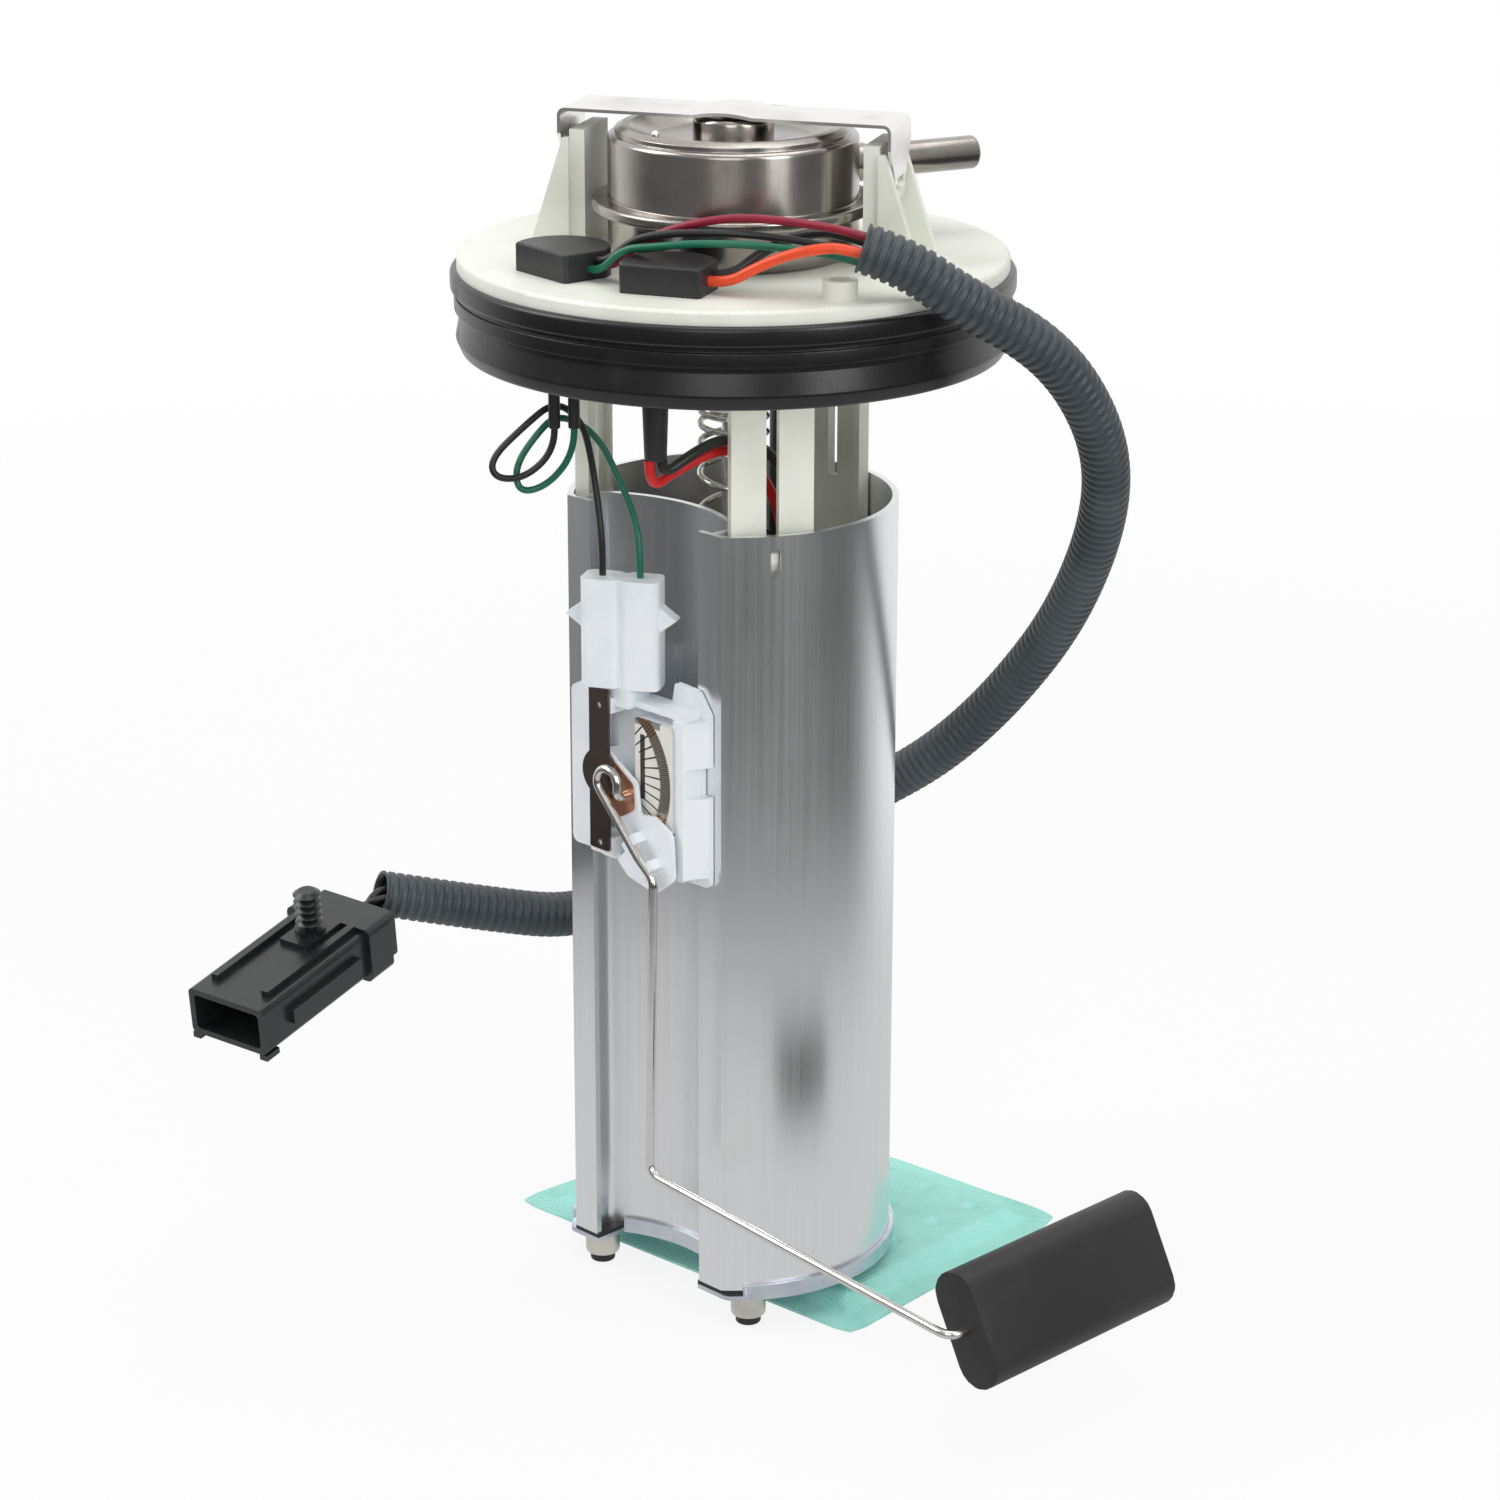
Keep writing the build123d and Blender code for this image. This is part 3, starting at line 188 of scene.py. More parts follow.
def moulding(name, colour, shade, roughness, constants=None):
    """A moulded plastic with cloudy colour, a fine skin and faint scuffs."""
    made = Finish(name, colour, roughness, 0.0, constants)
    cloud = made.grain(45, 4)
    scuff = made.grain(220, 5, (1, 1, 0.25)).between(0.6, 0.72)
    made.tint(cloud.between(0.42, 0.72) * 0.55, shade)
    made.tint(scuff * 0.18, shade)
    made.roughen(roughness - 0.07 + 0.14 * cloud + 0.08 * scuff)
    made.relief(made.grain(1600, 2) + 1.4 * made.grain(160, 3), 0.00003)
    return made


def steel(name, colour, shade, roughness, stretch, streaks=900):
    """A drawn or rolled metal with fine streaks, blotches and rubbed spots."""
    made = Finish(name, colour, roughness, 1.0)
    streak = made.grain(streaks, 3, stretch)
    blotch = made.grain(70, 5)
    made.tint(blotch.between(0.45, 0.75) * 0.7, shade)
    made.tint(streak.between(0.5, 0.8) * 0.3, shade)
    made.roughen(roughness - 0.08 + 0.12 * blotch + 0.1 * streak)
    made.relief(streak, 0.000012)
    return made


def sleeve(name, colour, roughness):
    """A wire's extruded sleeve: even colour, soft gloss and a slight waviness."""
    made = Finish(name, colour, roughness, 0.0, {"Coat Weight": 0.15, "Coat Roughness": 0.2})
    cloud = made.grain(260, 3)
    made.tint(cloud.between(0.45, 0.8) * 0.4, tuple(0.6 * part for part in colour))
    made.roughen(roughness - 0.05 + 0.12 * cloud)
    made.relief(made.grain(700, 2), 0.00002)
    return made


def rubber(name, colour, roughness, dusty=0.5):
    """Black rubber: fine pores and dusty patches."""
    made = Finish(name, colour, roughness)
    dust = made.grain(90, 6).between(0.52, 0.75)
    pores = made.grain(2600, 2)
    made.tint(dust * dusty, tuple(2.6 * part for part in colour))
    made.tint(pores.between(0.6, 0.75) * 0.3, tuple(2.0 * part for part in colour))
    made.roughen(roughness + 0.12 * dust)
    made.relief(pores + 0.6 * made.grain(300, 3), 0.00003)
    return made


def strainer_cloth():
    """Mint cloth of fine crossing threads."""
    made = Finish("sock_teal", screen(168, 240, 228), 0.62, 0.0, {"Sheen Weight": 0.15})
    threads = (made.along(0) * 5200).sine() * 0.5 + (made.along(1) * 5200).sine() * 0.5
    wrinkle = made.grain(60, 4, (1, 1.6, 1))
    made.tint(threads.between(-0.2, 1.0) * 0.3, screen(196, 250, 240))
    made.tint(wrinkle.between(0.5, 0.72) * 0.35, screen(118, 216, 196))
    made.roughen(0.55 + 0.15 * threads)
    made.relief(0.5 * threads + 3 * wrinkle, 0.00018)
    return made


def card_face():
    """Pale ceramic with a fan of printed leads that runs to a bronze band, the curved track."""
    made = Finish("card_ceramic", screen(226, 224, 216), 0.5)
    across = made.along(0) - PIVOT[0] * MM
    up = made.along(2) - PIVOT[1] * MM
    distance = (across * across + up * up).root()
    turn = up.angle(across)
    fan_start, track_inner, track_outer = 0.0135, 0.0192, 0.0226
    fan = ((turn * 42 + distance * 160).sine() > 0.86) * (distance < track_inner) * (distance > fan_start)
    band = (distance > track_inner) * (distance < track_outer)
    comb = band * ((turn * 150).sine() > 0.1)
    bar = (across < 0.0135) * (across > 0.0118) * ((up - 0.004).size() < 0.0085)
    rim = ((up - 0.0024).size() > 0.0125) * (across < 0.019)
    made.tint(fan + bar, screen(62, 60, 56))
    made.tint(rim * 0.8, screen(96, 92, 84))
    made.tint(band, screen(112, 86, 66))
    made.tint(comb, screen(62, 46, 36))
    made.roughen(0.5 - 0.2 * (fan + bar))
    made.relief(made.grain(1500, 3), 0.00001)
    return made


def paper():
    """Pleated filter paper."""
    made = Finish("filter_paper", screen(214, 196, 150), 0.9)
    pleat = (made.along(1).angle(made.along(0)) * 72).sine()
    made.tint(pleat.between(-0.6, 0.6) * 0.5, screen(168, 148, 104))
    made.relief(pleat + made.grain(900, 3), 0.0003)
    return made


def aluminium():
    """Satin extruded aluminium with fine lines along the tube."""
    made = Finish("tube_aluminium", (0.86, 0.87, 0.88), 0.3, 1.0)
    line = made.grain(900, 4, (1, 1, 0.012))
    cloud = made.grain(26, 3)
    nick = made.grain(420, 2, (1, 1, 0.2)).between(0.74, 0.8)
    made.tint(line.between(0.45, 0.75) * 0.12, (0.62, 0.63, 0.65))
    made.tint(nick * 0.4, (0.55, 0.56, 0.58))
    made.roughen(0.2 + 0.12 * line + 0.08 * cloud)
    made.relief(line + 0.3 * nick, 0.000006)
    return made


FINISHES = {
    "plate_cream": moulding("plate_cream", screen(236, 238, 228), screen(214, 216, 202), 0.46),
    "leg_cream": moulding("leg_cream", screen(236, 238, 226), screen(212, 215, 198), 0.4),
    "inner_plastic": moulding("inner_plastic", screen(216, 214, 198), screen(188, 186, 168), 0.5),
    "sender_white": moulding(
        "sender_white",
        screen(236, 240, 244),
        screen(212, 220, 228),
        0.34,
        {"Subsurface Weight": 0.25, "Subsurface Radius": (0.002, 0.002, 0.0025), "Coat Weight": 0.1},
    ),
    "block_black": moulding("block_black", (0.016, 0.016, 0.018), (0.04, 0.04, 0.042), 0.42),
    "connector_black": moulding(
        "connector_black",
        (0.012, 0.013, 0.014),
        (0.03, 0.036, 0.034),
        0.3,
        {"Coat Weight": 0.2, "Coat Roughness": 0.3},
    ),
    "conduit_slate": moulding("conduit_slate", (0.04, 0.05, 0.058), (0.085, 0.1, 0.11), 0.42),
    "seal_rubber": rubber("seal_rubber", (0.009, 0.009, 0.01), 0.28, 0.2),
    "gasket_black": rubber("gasket_black", (0.012, 0.012, 0.012), 0.5),
    "float_black": rubber("float_black", (0.013, 0.013, 0.013), 0.5),
    "can_steel": steel("can_steel", (0.4, 0.375, 0.35), (0.25, 0.22, 0.2), 0.18, (1, 1, 0.12)),
    "bright_steel": steel("bright_steel", (0.88, 0.87, 0.85), (0.66, 0.65, 0.62), 0.26, (1, 1, 0.3)),
    "wire_steel": steel("wire_steel", (0.74, 0.72, 0.69), (0.6, 0.58, 0.55), 0.16, (1, 1, 1), 300),
    "pump_steel": steel("pump_steel", (0.62, 0.62, 0.62), (0.45, 0.45, 0.46), 0.3, (1, 1, 0.1)),
    "terminal_tin": steel("terminal_tin", (0.74, 0.73, 0.7), (0.52, 0.5, 0.46), 0.3, (1, 0.2, 1)),
    "copper": steel("copper", (0.83, 0.47, 0.32), (0.6, 0.3, 0.2), 0.28, (1, 1, 0.3)),
    "cap_zinc": steel("cap_zinc", (0.66, 0.7, 0.76), (0.46, 0.5, 0.58), 0.26, (1, 1, 1), 300),
    "foot_zinc": steel("foot_zinc", (0.76, 0.73, 0.66), (0.52, 0.5, 0.46), 0.3, (1, 1, 1), 300),
    "tube_aluminium": aluminium(),
    "sock_teal": strainer_cloth(),
    "card_ceramic": card_face(),
    "filter_paper": paper(),
    "wire_maroon": sleeve("wire_maroon", screen(138, 22, 50), 0.38),
    "wire_red": sleeve("wire_red", screen(232, 74, 34), 0.38),
    "wire_green": sleeve("wire_green", screen(12, 104, 78), 0.38),
    "wire_black": sleeve("wire_black", (0.014, 0.014, 0.014), 0.4),
    "lead_red": sleeve("lead_red", screen(196, 28, 30), 0.36),
}
DARK_STRIP = steel("contact_dark", (0.2, 0.15, 0.13), (0.08, 0.06, 0.055), 0.3, (1, 1, 0.2))

for part in frame["record"]["subparts"]:
    drawn = frame["nodes"][part["node"]].data
    drawn.materials.clear()
    drawn.materials.append(FINISHES[part["material_slot"]].material)
strip = frame["nodes"]["contact_strap"].data
strip.materials[0] = DARK_STRIP.material


# Shapes


def soft_corners(corners, steps=6):
    """Points of a closed outline; each corner is its two coordinates and its rounding."""
    points = []
    for index, (across, up, rounding) in enumerate(corners):
        here = Vector((across, up))
        if not rounding:
            points.append(here)
            continue
        back = (Vector(corners[index - 1][:2]) - here).normalized()
        ahead = (Vector(corners[(index + 1) % len(corners)][:2]) - here).normalized()
        half = back.angle(ahead) / 2
        centre = here + (back + ahead).normalized() * (rounding / math.sin(half))
        first = here + back * (rounding / math.tan(half)) - centre
        last = here + ahead * (rounding / math.tan(half)) - centre
        begin = math.atan2(first.y, first.x)
        sweep = (math.atan2(last.y, last.x) - begin + math.pi) % math.tau - math.pi
        for step in range(steps + 1):
            turn = begin + sweep * step / steps
            points.append(centre + rounding * Vector((math.cos(turn), math.sin(turn))))
    return points


def arc(centre, radius, start, stop, steps):
    """Points along an arc, its angles in degrees."""
    points = []
    for step in range(steps + 1):
        turn = math.radians(start + (stop - start) * step / steps)
        points.append(Vector((centre[0] + radius * math.cos(turn), centre[1] + radius * math.sin(turn))))
    return points


def lathe(points, sides=160):
    """A closed profile of radius and height turned about the Z axis."""
    shape = bmesh.new()
    rows = []
    for side in range(sides):
        turn = math.tau * side / sides
        rows.append([shape.verts.new((p.x * math.cos(turn), p.x * math.sin(turn), p.y)) for p in points])
    for side, row in enumerate(rows):
        beside = rows[(side + 1) % sides]
        for step in range(len(points)):
            after = (step + 1) % len(points)
            if points[step].x + points[after].x > 1e-6:
                shape.faces.new((row[step], beside[step], beside[after], row[after]))
    bmesh.ops.remove_doubles(shape, verts=shape.verts, dist=1e-5)
    return shape


def prism(loops, low, high):
    """Closed loops in plan, the first one outside and the others holes, drawn up between two heights."""
    shape = bmesh.new()
    edges = []
    for loop in loops:
        ring = [shape.verts.new((point[0], point[1], low)) for point in loop]
        edges += [shape.edges.new((ring[step - 1], ring[step])) for step in range(len(ring))]
    bmesh.ops.triangle_fill(shape, use_beauty=True, edges=edges)
    grown = bmesh.ops.extrude_face_region(shape, geom=shape.faces[:])
    top = [item for item in grown["geom"] if isinstance(item, bmesh.types.BMVert)]
    bmesh.ops.translate(shape, verts=top, vec=(0, 0, high - low))
    return shape


def on_side(shape, front, depth):
    """Stands a prism drawn from 0 to depth on the sender's side plane, its front face outermost."""
    upright = Matrix.Translation((0, front + depth, 0)) @ Matrix.Rotation(math.pi / 2, 4, "X")
    bmesh.ops.transform(shape, verts=shape.verts, matrix=upright)
    return shape


def smoothed(mesh, angle):
    """Smooth shading with sharp edges kept where the faces turn by more than an angle."""
    mesh.shade_smooth()
    mesh.set_sharp_from_angle(angle=math.radians(angle))
    return mesh


def as_object(name, shape):
    """A mesh object from a shape drawn in millimetres."""
    bmesh.ops.scale(shape, verts=shape.verts, vec=(MM, MM, MM))
    bmesh.ops.recalc_face_normals(shape, faces=shape.faces)
    mesh = bpy.data.meshes.new(name)
    shape.to_mesh(mesh)
    shape.free()
    made = bpy.data.objects.new(name, mesh)
    bpy.context.scene.collection.objects.link(made)
    return made


def settle(made, body, slot, stands_for, finish=None, angle=32):
    """Applies a piece's modifiers, gives it its finish and sets it on its body."""
    bpy.context.view_layer.update()
    seen = made.evaluated_get(bpy.context.evaluated_depsgraph_get())
    mesh = bpy.data.meshes.new_from_object(seen)
    made.modifiers.clear()
    made.data = mesh
    smoothed(mesh, angle)
    mesh.materials.clear()
    mesh.materials.append((finish or FINISHES[slot]).material)
    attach(made, body)
    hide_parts(*stands_for)
    return made


def bevel(made, width, steps):
    """Rounds a piece's edges where they turn by over 40 degrees, the width in millimetres."""
    edge = made.modifiers.new("edges", "BEVEL")
    edge.width = width * MM
    edge.segments = steps
    edge.limit_method = "ANGLE"
    edge.angle_limit = math.radians(40)


# Node trees for what follows a path or repeats


class Tree:
    """A geometry tree with named inputs, each with its starting value."""

    def __init__(self, name, inputs):
        self.group = bpy.data.node_groups.new(name, "GeometryNodeTree")
        self.names = {}
        kinds = {float: "NodeSocketFloat", int: "NodeSocketInt", str: "NodeSocketObject"}
        for title, value in inputs.items():
            kind = "NodeSocketMaterial" if title == "Finish" else kinds[type(value)]
            made = self.group.interface.new_socket(title, in_out="INPUT", socket_type=kind)
            if isinstance(value, (int, float)):
                made.default_value = value
            self.names[title] = made.identifier
        self.group.interface.new_socket("Geometry", in_out="OUTPUT", socket_type="NodeSocketGeometry")
        self.given = self.group.nodes.new("NodeGroupInput").outputs

    def node(self, kind, settings=None, sockets=None):
        made = self.group.nodes.new(kind)
        for setting, choice in (settings or {}).items():
            setattr(made, setting, choice)
        for socket, value in (sockets or {}).items():
            if isinstance(value, bpy.types.NodeSocket):
                self.group.links.new(value, made.inputs[socket])
            else:
                made.inputs[socket].default_value = value
        return made.outputs

    def math(self, operation, first, second=0.0):
        return self.node("ShaderNodeMath", {"operation": operation}, {0: first, 1: second})[0]

    def route(self):
        """What the object that the tree follows is made of."""
        sockets = {"Object": self.given["Route"]}
        return self.node("GeometryNodeObjectInfo", {"transform_space": "RELATIVE"}, sockets)["Geometry"]

    def tube(self, line, sides, radius, scale=1.0, caps=True):
        """Ends the tree in a round tube along a curve."""
        sockets = {"Resolution": sides, "Radius": radius}
        section = self.node("GeometryNodeCurvePrimitiveCircle", {}, sockets)[0]
        sockets = {"Curve": line, "Profile Curve": section, "Scale": scale, "Fill Caps": caps}
        self.close(self.node("GeometryNodeCurveToMesh", {}, sockets)[0])

    def close(self, geometry):
        """Ends the tree in plain faces with their finish."""
        real = self.node("GeometryNodeRealizeInstances", {}, {0: geometry})
        painted = self.node("GeometryNodeSetMaterial", {}, {0: real[0], "Material": self.given["Finish"]})
        self.node("NodeGroupOutput", {}, {0: painted[0]})

    def grow(self, name, values):
        """A new object that this tree makes, in metres."""
        mesh = bpy.data.meshes.new(name)
        made = bpy.data.objects.new(name, mesh)
        bpy.context.scene.collection.objects.link(made)
        grower = made.modifiers.new("grow", "NODES")
        grower.node_group = self.group
        for title, value in values.items():
            grower[self.names[title]] = value
        return made


def sleeve_tree():
    """A round tube along a route, plain or with rings at a pitch."""
    inputs = {
        "Route": "", "Radius": 0.001, "Sides": 20, "Step": 0.001,
        "Pitch": 0.0025, "Groove": 0.0, "Finish": "",
    }
    tree = Tree("sleeve", inputs)
    sockets = {"Curve": tree.route(), "Length": tree.given["Step"]}
    even = tree.node("GeometryNodeResampleCurve", {"mode": "LENGTH"}, sockets)[0]
    travelled = tree.node("GeometryNodeSplineParameter")["Length"]
    phase = tree.math("MULTIPLY", tree.math("DIVIDE", travelled, tree.given["Pitch"]), math.tau)
    sockets = {0: tree.math("COSINE", phase), 1: -0.9, 2: 0.1}
    crest = tree.node("ShaderNodeMapRange", {"interpolation_type": "SMOOTHSTEP"}, sockets)[0]
    dip = tree.math("MULTIPLY", tree.given["Groove"], tree.math("SUBTRACT", 1.0, crest))
    width = tree.math("SUBTRACT", 1.0, dip)
    tree.tube(even, tree.given["Sides"], tree.given["Radius"], width, False)
    return tree


def spring_tree():
    """A coil whose turns close up at both ends."""
    inputs = {"Radius": 0.008, "Wire": 0.0008, "Height": 0.07, "Turns": 9.0, "Foot": -0.1, "Finish": ""}
    tree = Tree("coil", inputs)
    given = tree.given
    sockets = {"Resolution": 48, "Rotations": given["Turns"], "Height": given["Height"]}
    sockets |= {"Start Radius": given["Radius"], "End Radius": given["Radius"]}
    coil = tree.node("GeometryNodeCurveSpiral", {}, sockets)[0]
    share = tree.node("GeometryNodeSplineParameter")["Factor"]
    sway = tree.math("SINE", tree.math("MULTIPLY", share, math.tau))
    shift = tree.math("MULTIPLY", tree.math("MULTIPLY", sway, given["Height"]), -0.09)
    lift = tree.node("ShaderNodeCombineXYZ", {}, {"Z": tree.math("ADD", shift, given["Foot"])})[0]
    moved = tree.node("GeometryNodeSetPosition", {}, {"Geometry": coil, "Offset": lift})[0]
    tree.tube(moved, 16, given["Wire"])
    return tree


def bent_wire_tree():
    """A wire along the corners of a route mesh, each corner bent to its own radius."""
    tree = Tree("bent_wire", {"Route": "", "Radius": 0.001, "Sides": 24, "Finish": ""})
    line = tree.node("GeometryNodeMeshToCurve", {}, {"Mesh": tree.route()})[0]
    bend = tree.node("GeometryNodeInputNamedAttribute", {"data_type": "FLOAT"}, {"Name": "bend"})[0]
    sockets = {"Curve": line, "Count": 14, "Radius": bend, "Limit Radius": True}
    rounded = tree.node("GeometryNodeFilletCurve", {"mode": "POLY"}, sockets)[0]
    tree.tube(rounded, tree.given["Sides"], tree.given["Radius"])
    return tree


def teeth_tree():
    """Small bars that stand round an arc on the side plane, like the teeth of a comb."""
    inputs = {
        "Count": 40, "Radius": 0.02, "Long": 0.003, "Wide": 0.0003, "Deep": 0.0002, "Front": -0.04,
        "First": 0.0, "Last": 1.0, "Across": 0.0, "Up": 0.0, "Finish": "",
    }
    tree = Tree("teeth", inputs)
    given = tree.given
    row = tree.node("GeometryNodeMeshLine", {}, {"Count": given["Count"], "Offset": (0.0, 0.0, 0.0)})[0]
    order = tree.node("GeometryNodeInputIndex")[0]
    share = tree.math("DIVIDE", order, tree.math("SUBTRACT", given["Count"], 1.0))
    sweep = tree.math("SUBTRACT", given["Last"], given["First"])
    turn = tree.math("ADD", given["First"], tree.math("MULTIPLY", share, sweep))
    along = tree.math("MULTIPLY", given["Radius"], tree.math("COSINE", turn))
    above = tree.math("MULTIPLY", given["Radius"], tree.math("SINE", turn))
    place = {
        "X": tree.math("ADD", given["Across"], along),
        "Y": given["Front"],
        "Z": tree.math("ADD", given["Up"], above),
    }
    spot = tree.node("ShaderNodeCombineXYZ", {}, place)[0]
    placed = tree.node("GeometryNodeSetPosition", {}, {"Geometry": row, "Position": spot})[0]
    sockets = {"X": given["Long"], "Y": given["Deep"], "Z": given["Wide"]}
    size = tree.node("ShaderNodeCombineXYZ", {}, sockets)[0]
    tooth = tree.node("GeometryNodeMeshCube", {}, {"Size": size})[0]
    lean = tree.node("ShaderNodeCombineXYZ", {}, {"Y": tree.math("MULTIPLY", turn, -1.0)})[0]
    facing = tree.node("FunctionNodeEulerToRotation", {}, {0: lean})[0]
    sockets = {"Points": placed, "Instance": tooth, "Rotation": facing}
    tree.close(tree.node("GeometryNodeInstanceOnPoints", {}, sockets)[0])
    return tree


SLEEVES = sleeve_tree()


def spline(name, points):
    """A smooth route through control points in millimetres."""
    curve = bpy.data.curves.new(name, "CURVE")
    curve.dimensions = "3D"
    line = curve.splines.new("NURBS")
    line.points.add(len(points) - 1)
    for spot, point in zip(line.points, points):
        spot.co = (*(MM * part for part in point), 1)
    line.order_u = 3
    line.use_endpoint_u = True
    line.resolution_u = 12
    made = bpy.data.objects.new(name, curve)
    bpy.context.scene.collection.objects.link(made)
    return made


def sheathed(name, points, values):
    """A tube along a smooth route, and the points that it follows."""
    route = spline(name + "_route", points)
    bpy.context.view_layer.update()
    line = bpy.data.meshes.new_from_object(route.evaluated_get(bpy.context.evaluated_depsgraph_get()))
    path = [tuple(vertex.co) for vertex in line.vertices]
    made = SLEEVES.grow(name, {"Route": route, **values})
    return made, route, path


def lead(name, slot, points, radius, keep=None):
    """One wire; where a share to keep is given, it gets a mesh of its own."""
    values = {"Radius": radius * MM, "Sides": 18, "Step": 0.0008, "Finish": FINISHES[slot].material}
    made, route, path = sheathed(name + "_sleeve", points, values)
    settle(made, "flange", slot, [name], angle=80)
    bpy.data.objects.remove(route)
    start = [MM * part for part in points[0]]
    if keep:
        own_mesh(made)
    return made


# Filter can and what turns about an axis


def lathed(name, corners, body, slot, sides=160, place=None):
    """A turned piece that stands for the node of its name; its profile is a list of corners."""
    shape = lathe(soft_corners(corners), sides)
    if place:
        bmesh.ops.transform(shape, verts=shape.verts, matrix=place)
    return settle(as_object(name + "_turned", shape), body, slot, [name])


def lying(angle, height):
    """Turns a piece from the Z axis to lie along an angle in plan, at a height."""
    lift = Matrix.Translation((0, 0, height))
    return Matrix.Rotation(math.radians(angle), 4, "Z") @ lift @ Matrix.Rotation(math.pi / 2, 4, "Y")


lathed(
    "filter_can",
    [
        (4, 3.5, 0), (31, 3.5, 3), (31, 14.3, 0.4), (35, 14.3, 1), (35, 17.3, 1), (31, 17.3, 0.4),
        (31, 33.1, 1.4), (29.2, 33.1, 0.2), (29.2, 34.3, 0.3), (27.3, 35.2, 0.5), (25.5, 35.2, 1),
        (20, 32, 2), (8, 32, 0), (8, 31.1, 0), (20.3, 31.1, 1.5), (26, 34.2, 0.5), (28.2, 33.3, 0.5),
        (30.1, 32.2, 0.6), (30.1, 4.4, 2.1), (4, 4.4, 0),
    ],
    "flange",
    "can_steel",
)
lathed(
    "pressure_regulator",
    [
        (0, 4.4, 0), (6.5, 4.4, 0), (6.5, 14, 0), (8, 14, 0), (8, 32, 0), (10, 32, 0), (10, 37.5, 1.8),
        (3, 37.5, 0.3), (3, 39.36, 0.5), (0, 39.36, 0),
    ],
    "flange",
    "can_steel",
    96,
)
lathed(
    "tank_seal",
    [
        (62, 0, 0), (70.2, 0, 1.2), (70.2, -5.2, 1.2), (68.6, -5.2, 0.2), (68.6, -6.4, 0.2),
        (69.3, -6.4, 0.3), (69.3, -9.8, 0.4), (67.9, -10.2, 0.3), (67.9, -11.5, 0.4), (69, -17, 1.5),
        (67.5, -20.6, 1.5), (62, -20.6, 1),
    ],
    "flange",
    "seal_rubber",
    220,
)
lathed(
    "outlet_pipe",
    [(2.75, 29, 0), (4.8, 29, 0), (4.8, 36.5, 0.3), (4.2, 36.5, 0), (4.2, 68, 1.2), (2.75, 68, 0.2)],
    "flange",
    "can_steel",
    64,
    place=lying(PIPE_ANGLE, PIPE_HEIGHT),
)
hose = lathed(
    "outlet_hose",
    [(3.5, -145, 0), (5, -145, 0.3), (5, -8, 0.3), (3.5, -8, 0)],
    "flange",
    "block_black",
    48,
    place=Matrix.Translation((0, 20, 0)),
)
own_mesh(hose)

spring = spring_tree().grow(
    "coil_spring_wound",
    {
        "Radius": 8.35 * MM,
        "Wire": 0.8 * MM,
        "Height": 68.4 * MM,
        "Turns": 9.4,
        "Foot": -105.2 * MM,
        "Finish": FINISHES["bright_steel"].material,
    },
)
settle(spring, "flange", "bright_steel", ["coil_spring"], FINISHES["wire_steel"], 80)
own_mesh(spring)


# Reservoir


def recess_arch(radius, half, rounding):
    """The concave wall seen from above, from one side of the channel to the other."""

    def height(across):
        return RECESS_Y + math.sqrt(radius**2 - across**2)

    low = FLAT_Y + TUBE_WALL
    inner = half - 3.2
    spread = [inner * (step / 20 - 1) for step in range(41)]
    middle = [(across, height(across), 0) for across in spread]
    left = [(-half, low, 0), (-half, height(half), rounding)]
    right = [(half, height(half), rounding), (half, low, 0)]
    return left + middle + right


def tube_section():
    """The tube's outer loop, which runs into the open channel, and the loop of its chamber."""
    below = math.degrees(math.asin(-FLAT_Y / TUBE_RADIUS))
    outer = arc((0, 0), TUBE_RADIUS, -below, 180 + below, 150)
    lip = [Vector((-19.5, FLAT_Y)), Vector((-19.5, FLAT_Y + TUBE_WALL))]
    outer += lip + soft_corners(recess_arch(RECESS_RADIUS, 23.0, 2.5))
    outer += [Vector((-point.x, point.y)) for point in reversed(lip)]
    inside = TUBE_RADIUS - TUBE_WALL
    below = math.degrees(math.asin(-(FLAT_Y + TUBE_WALL) / inside))
    chamber = arc((0, 0), inside, -below, 180 + below, 120)
    chamber += soft_corners(recess_arch(RECESS_RADIUS + TUBE_WALL, 24.6, 4.1))
    return outer, chamber


def oblong(length, width, place):
    """A round-ended outline along X."""
    half = (length - width) / 2
    right = arc((half, 0), width / 2, -90, 90, 10)
    left = arc((-half, 0), width / 2, 90, 270, 10)
    return [point + Vector(place) for point in right + left]


tube = as_object("reservoir_tube_drawn", prism(tube_section(), TUBE_FOOT, TUBE_TOP))
for angle in SLOT_ANGLES:
    cutter = prism([oblong(7.4, 2.6, (65.6, 0))], TUBE_RADIUS - 6, TUBE_RADIUS + 6)
    bmesh.ops.transform(cutter, verts=cutter.verts, matrix=lying(angle, 0))
    tool = as_object("slot_tool", cutter)
    cut = tube.modifiers.new("slot", "BOOLEAN")
    cut.object = tool
    cut.solver = "EXACT"
    bpy.context.view_layer.update()
    mesh = bpy.data.meshes.new_from_object(tube.evaluated_get(bpy.context.evaluated_depsgraph_get()))
    tube.modifiers.clear()
    tube.data = mesh
    bpy.data.objects.remove(tool)
settle(tube, "reservoir", "tube_aluminium", ["reservoir_tube"], angle=30)


POUCH_CORNERS = [Vector(corner) for corner in ((-66, -18), (55, -11), (46, 80), (-58, 73))]
POUCH_MIDDLE = Vector((-6, 31))
POUCH_SIDE, POUCH_END = 117, 91
POUCH_LOW = FLOOR + 0.1
CORNER_ROUND, SEAM, SWELL_RUN, SWELL_RISE = 6, 5.5, 7, 3.55
WELD_PITCH, WELD_ROW, WELD_RADIUS, WELD_DEPTH = 17, 15, 3.2, 1.1


